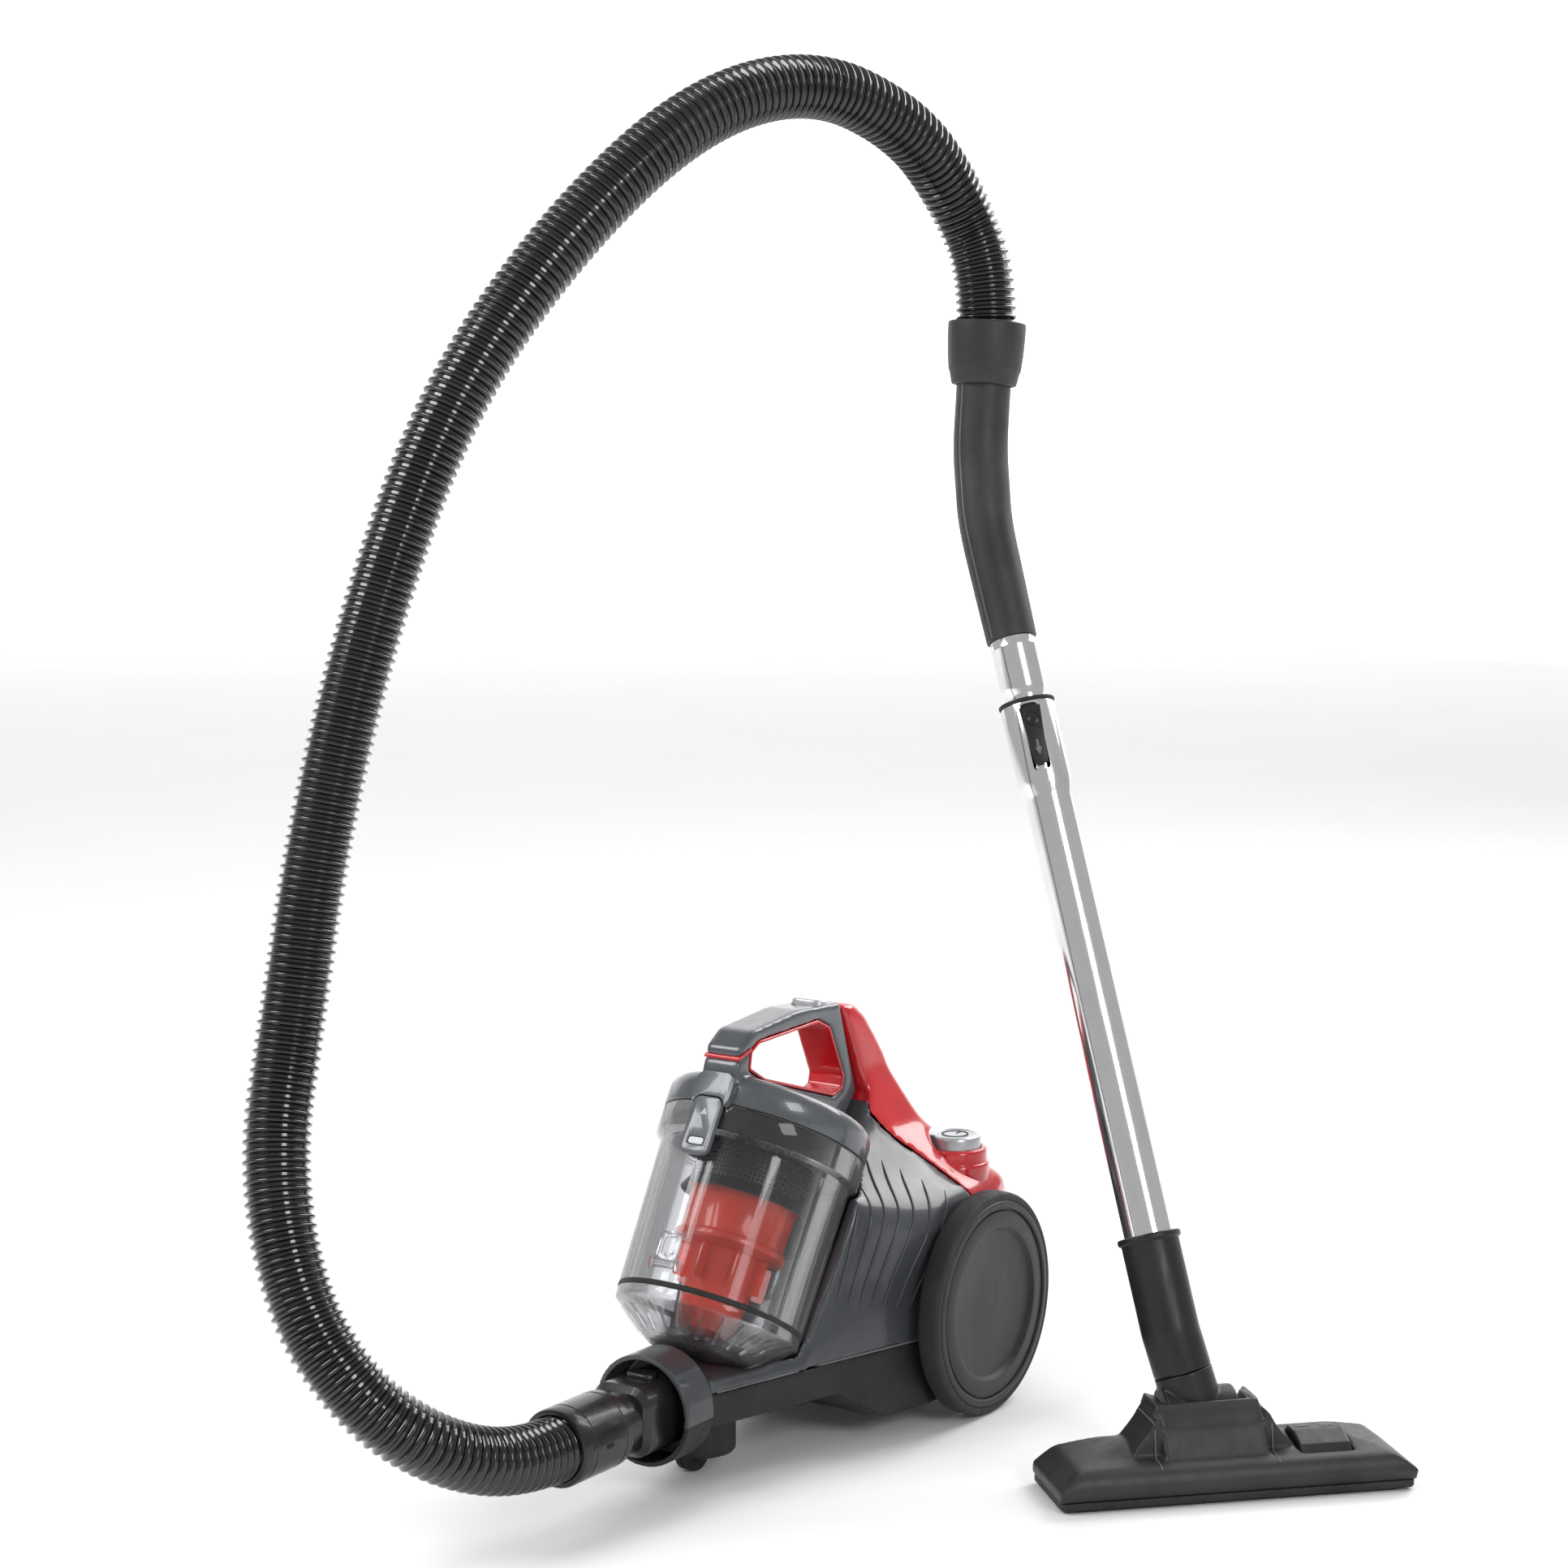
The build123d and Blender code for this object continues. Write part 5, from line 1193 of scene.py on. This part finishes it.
@dataclass
class Tube:
    """The chromed telescopic tube, its black ring and the sliding lock."""

    outer: float = 18.0
    inner: float = 15.0
    wall: float = 1.0
    outer_top: float = 478.0
    inner_top: float = 531.0

    def build(self) -> None:
        """Model and dress both lengths of tube, the ring and the lock."""
        inner, outer, wall = self.inner, self.outer, self.wall
        top, low = self.inner_top, self.outer_top
        bell = turned("inner_tube_shell", [
            (inner - wall, 60), (inner, 60), (inner, top - 47), (inner + 0.5, top - 45),
            (inner + 1.7, top - 41.5), (inner + 2.2, top - 39), (inner + 2.2, top - 8),
            (inner + 2.4, top - 7.4), (inner + 2.4, top - 6.6), (inner + 2.2, top - 6),
            (inner + 2.2, top - 0.6), (inner + 1.2, top - 0.6), (inner + 1.2, top - 39),
            (inner - wall, top - 45),
        ], 96)
        soften(bell, 0, 1, 30)
        dress(settle(bell, TUBE), Look.CHROME, "canister", "inner_tube")
        sleeve = turned("outer_tube_shell", [
            (outer - wall, 4), (outer, 4), (outer, low - 74), (outer + 0.5, low - 71), (outer + 2, low - 64),
            (outer + 2.5, low - 60), (outer + 2.5, low - 1), (outer + 2.2, low), (outer + 1.5, low),
            (outer + 1.5, low - 60), (outer - wall, low - 71),
        ], 96)
        gap = slab("gap", rounded(13, 52, 3, 5), 20)
        settle(gap, frame_at((outer - 6, 0, low - 28), (1, 0, 0), (0, 1, 0)))
        cut(sleeve, gap)
        soften(sleeve, 0, 1, 30)
        dress(settle(sleeve, TUBE), Look.CHROME, "wand", "outer_tube")
        ring = turned("telescope_ring", [
            (inner + 0.1, low - 6), (outer + 1.4, low - 6), (outer + 1.4, low), (outer + 3, low),
            (outer + 3.5, low + 0.6), (outer + 3.5, low + 2.4), (outer + 2.8, low + 3), (inner + 1, low + 3),
            (inner + 0.1, low + 2),
        ], 96)
        soften(ring, 0.25, 2, 25)
        dress(settle(ring, TUBE), Look.RUBBER, "wand", "tube_ring")
        self.lock()

    def lock(self) -> None:
        """Tapered slider with a thumb scoop and an arrow, over a black notch."""
        face = frame_at((self.outer + 2.8, 0, self.outer_top - 62), (1, 0, 0), (0, 1, 0))
        slider = slab("slider", [(-5, 12), (5, 12), (6.4, 34), (8, 56), (-8, 56), (-6.4, 34)], 5.4)
        scoop = turned("scoop", [(0, 3.0), (3, 3.3), (5, 4.4), (5.6, 6), (5.6, 9), (0, 9)], 48)
        settle(scoop, frame_at((0, 46, 0)))
        cut(slider, scoop)
        soften(slider, 0.8, 3, 35)
        block = slab("block", rounded(9, 33, 2, 4), 5)
        settle(block, frame_at((0, 30, -4.2)))
        slider = joined("lock_slider", slider, block)
        dress(settle(slider, TUBE @ face), Look.NECK, "lock", "tube_lock")
        arrow = slab("lock_arrow", [
            (0, 18), (2.6, 24), (1, 24), (1, 30), (-1, 30), (-1, 24), (-2.6, 24)], 0.25)
        dress(settle(arrow, TUBE @ face @ frame_at((0, 0, 5.35))), Look.SEAM, "lock")


@dataclass
class Neck:
    """The neck that holds the tube and the elbow that it turns on."""

    radius: float = 20.0
    rim: float = 70.0

    def build(self) -> None:
        """Model and dress the neck, its rim and the elbow."""
        neck = recast("neck", "neck_moulding", 0.9, 6)
        dress(neck, Look.NECK, "wand", "neck")
        rim = turned("neck_rim", [
            (18.1, 66), (22.6, 66), (23.4, 66.8), (23.6, 68.5), (23.4, 70.4), (22.6, 71), (18.1, 71)], 96)
        soften(rim, 0.3, 2, 25)
        dress(settle(rim, TUBE), Look.NECK, "wand")
        elbow = recast("elbow", "elbow_moulding", 0.9, 6)
        dress(elbow, Look.NECK, "elbow_joint", "elbow")


@dataclass
class Head:
    """The floor head: cover, sole plate, brushes, rocker pedal and rollers."""

    half: float = 134.0
    depth: float = 36.0
    pedal_x: float = 70.0
    saddle_top: float = 64.0
    cheek_low: float = -53.0
    cheek_high: float = 25.0
    cheek_thick: float = 7.0

    def build(self) -> None:
        """Model and dress every piece of the floor head."""
        cover = recast("head_cover", "head_cover_moulding", 1.3, 12, self.saddle())
        dress(cover, Look.HEAD, "head", "head_cover")
        edit_all(cover)
        bpy.ops.mesh.bisect(plane_co=(0, 0, self.saddle_top * MM), plane_no=(0, 0, 1),
                            clear_outer=True, use_fill=True)
        outward()
        modify(cover, "SMOOTH", factor=0.5, iterations=6)
        self.seams(cover)
        self.sole()
        self.brushes()
        self.pedal()
        for node in ("left_roller", "right_roller"):
            dress_node(node, Look.RUBBER)
        dress_node("elbow_pin", Look.STEEL)

    def saddle(self) -> list[Piece]:
        """Cheeks and a brow round the elbow, the shoulders beside them, and solid ends to the cover."""
        cheek = [
            (34, 12), (34, 50), (30, 57), (22, 65), (-1, 65), (-4, 60.5), (-16, 47), (-29, 24), (-26, 12)]
        brow = [
            (-22, 36), (-16, 47), (-4, 60.5), (-1, 65), (1.6, 65), (1.6, 58), (-1.6, 50), (-3, 44), (-6, 36)]
        shoulder = [(0, 12), (20, 12), (20, 34), (9, 48), (3, 58), (0, 60)]
        stop = [(118, 14), (133.4, 14), (133.4, 16.2), (126, 21.8), (118, 23)]
        low, high, thick = self.cheek_low, self.cheek_high, self.cheek_thick
        pieces = []
        for name, outline, x, width in (("cheek", cheek, low, thick), ("cheek", cheek, high - thick, thick),
                                        ("brow", brow, low, high - low)):
            pieces.append(settle(slab(name, outline, width), HEAD @ frame_at((x, 0, 0), (1, 0, 0), (0, 1, 0))))
        for x, side in ((high, 1), (low, -1)):
            sides = (("shoulder", shoulder, x, 26, 42), ("end", stop, 0, 31.5, 63))
            for name, outline, start, back, depth in sides:
                flipped = [(side * across, up) for across, up in outline][::side]
                place = frame_at((start, back, 0), (0, -1, 0), (1, 0, 0))
                pieces.append(settle(slab(name, flipped, depth), HEAD @ place))
        return pieces

    def seams(self, cover: Piece) -> None:
        """Fine parting lines that run over the cover on each side of the saddle."""
        bars = []
        for x in (-58.0, 30.0):
            points = []
            for step in range(26):
                y = -self.depth + 1 + step * 2 * (self.depth - 1) / 25
                start = HEAD @ Vector((x * MM, y * MM, 0.2))
                point = surface_point(cover, start, Vector((0, 0, -1)), 0.0)
                if point:
                    points.append(point)
            bars.append(pipe("line", points, [0.45], 2))
        piece = joined("head_seams", *bars)
        bpy.ops.object.shade_smooth()
        dress(piece, Look.SEAM, "head")

    def sole(self) -> None:
        """Sole plate, with a notched skirt strip round its edge."""
        dress_node("head_sole", Look.BASE)
        strip = slab("strip", rounded(2 * self.half - 2, 2 * self.depth + 2, 6, 6), 5)
        inside = slab("inside", rounded(2 * self.half - 6, 2 * self.depth - 2, 5, 6), 12)
        settle(inside, frame_at((0, 0, -3)))
        notches = []
        for side in (1, -1):
            for index in range(7):
                notch = slab("notch", rounded(9, 12, 1.5, 3), 3)
                notches.append(settle(notch, frame_at((-99 + 33 * index, side * self.depth, -1.2))))
        cut(strip, inside, *notches)
        settle(strip, frame_at((0, 0, 2.6)))
        strip.name = "sole_skirt"
        soften(strip, 0.4, 2, 30)
        dress(settle(strip, HEAD), Look.RUBBER, "head")

    def brushes(self) -> None:
        """Two rows of bristle tufts on their carrier."""
        rows = []
        for y in (-24, 24):
            rest()
            bpy.ops.mesh.primitive_cone_add(vertices=7, radius1=1.5 * MM, radius2=1.0 * MM, depth=7.5 * MM,
                                            location=(-122 * MM, y * MM, 6.9 * MM))
            tuft = bpy.context.object
            bpy.ops.object.transform_apply(location=True, rotation=True, scale=True)
            modify(tuft, "ARRAY", count=82, use_relative_offset=False, use_constant_offset=True,
                   constant_offset_displace=(3 * MM, 0, 0))
            rows.append(tuft)
        piece = joined("brush_tufts", *rows)
        dress(settle(piece, HEAD), Look.BRISTLE, "brushes")
        dress_node("brush_carrier", Look.BASE)

    def pedal(self) -> None:
        """Rocker pedal with two plain raised brush marks."""
        plate = recast("head_pedal", "rocker_pedal", 0.6, 6)
        dress(plate, Look.NECK, "rocker", "head_pedal")
        marks = []
        for x, teeth in ((self.pedal_x - 9, 0), (self.pedal_x + 9, 5)):
            bar = slab("bar", rounded(11, 1.8, 0.7, 3), 0.4)
            marks.append(settle(bar, frame_at((x, 5, 38.9))))
            for tooth in range(teeth):
                pin = slab("tooth", rounded(1.0, 3.6, 0.4, 2), 0.4)
                marks.append(settle(pin, frame_at((x - 4.4 + 2.2 * tooth, 2.4, 38.9))))
        piece = joined("rocker_marks", *marks)
        dress(settle(piece, HEAD), Look.SEAM, "rocker")


class Inside(Enum):
    """Looks of the pieces that the mouldings hide."""

    inlet_duct = Look.BASE
    outlet_duct = Look.BASE
    motor_housing = Look.BASE
    motor_stator = Look.COPPER
    motor_rotor = Look.STEEL
    fan_wheel = Look.HEAD
    motor_mounts = Look.RUBBER
    cord_reel = Look.GRIP
    reel_bracket = Look.HEAD
    cord_outlet = Look.RUBBER
    exhaust_filter = Look.PAPER
    control_board = Look.BOARD


# ---------------------------------------------------------------- floor, light and camera


@dataclass
class Studio:
    """Pale floor, soft light and the camera."""

    position: Point = (1.1762, -1.9593, 0.788)
    heading: Point = (-0.5606, 0.828, -0.1219)
    lens: float = 74.53

    def build(self) -> None:
        """Set up the floor, the lights and the camera."""
        self.floor()
        self.light("key_light", (-1.6, -2.2, 2.6), (0, 0, 0.35), 1.6, 80)
        self.light("fill_light", (2.6, -1.2, 1.8), (0, 0, 0.35), 1.0, 30)
        self.light("back_light", (0.6, 2.4, 2.2), (0, 0, 0.5), 1.8, 60)
        world = bpy.data.worlds.new("studio_air")
        world.use_nodes = True
        world.node_tree.nodes["Background"].inputs["Color"].default_value = (1, 1, 1, 1)
        world.node_tree.nodes["Background"].inputs["Strength"].default_value = 0.5
        bpy.context.scene.world = world
        bpy.context.scene.view_settings.view_transform = "Standard"
        lens = bpy.data.cameras.new("studio_camera")
        lens.lens = self.lens
        lens.sensor_width = 36
        lens.clip_end = 30
        camera = bpy.data.objects.new("studio_camera", lens)
        camera.location = self.position
        camera.rotation_euler = Vector(self.heading).to_track_quat("-Z", "Y").to_euler()
        bpy.context.scene.collection.objects.link(camera)
        bpy.context.scene.camera = camera

    def floor(self) -> None:
        """A pale floor, and a separate upright backdrop behind it that glows evenly."""
        rest()
        bpy.ops.mesh.primitive_plane_add(size=14, location=(0, 0, -0.0004))
        floor = bpy.context.object
        floor.name = "studio_floor"
        work = Recipe("pale_floor")
        cloud = work.noise(3, 3)
        floor.data.materials.append(work.close(work.node("ShaderNodeBsdfPrincipled", None, {
            "Base Color": work.blend(cloud, (0.86, 0.86, 0.86), (0.9, 0.9, 0.9)), "Roughness": 0.6})))
        bpy.ops.mesh.primitive_plane_add(size=16, location=(-4.2, 6.2, 3), rotation=(pi / 2, 0, 0.595))
        wall = bpy.context.object
        wall.name = "studio_backdrop"
        lit = Recipe("lit_backdrop")
        white = lit.blend(lit.noise(1, 2), (0.98, 0.98, 0.98), (1, 1, 1))
        wall.data.materials.append(lit.close(lit.node("ShaderNodeBsdfPrincipled", None, {
            "Base Color": white, "Roughness": 0.9, "Emission Color": white, "Emission Strength": 0.9})))

    def light(self, name: str, position: Point, target: Point, size: float, power: float) -> None:
        """Hang one soft square light.

        Args:
            name: The light's name.
            position: Where it hangs, in metres.
            target: The point it faces.
            size: Its side in metres.
            power: Its power in watts.
        """
        data = bpy.data.lights.new(name, "AREA")
        data.size = size
        data.energy = power
        lamp = bpy.data.objects.new(name, data)
        lamp.location = position
        lamp.rotation_euler = (Vector(target) - Vector(position)).to_track_quat("-Z", "Y").to_euler()
        bpy.context.scene.collection.objects.link(lamp)


def main() -> None:
    """Build the studio and every sub-assembly in order."""
    logging.basicConfig(level=logging.INFO, format="%(name)s: %(message)s")
    for assembly in (Studio, Hose, Wheels, Hull, Cup, Lid, HoseEnds, Grip, Tube, Neck, Head):
        LOG.info("building %s", assembly.__name__)
        assembly().build()
    for node, look in Inside.__members__.items():
        dress_node(node, look.value)


if __name__ == "__main__":
    main()
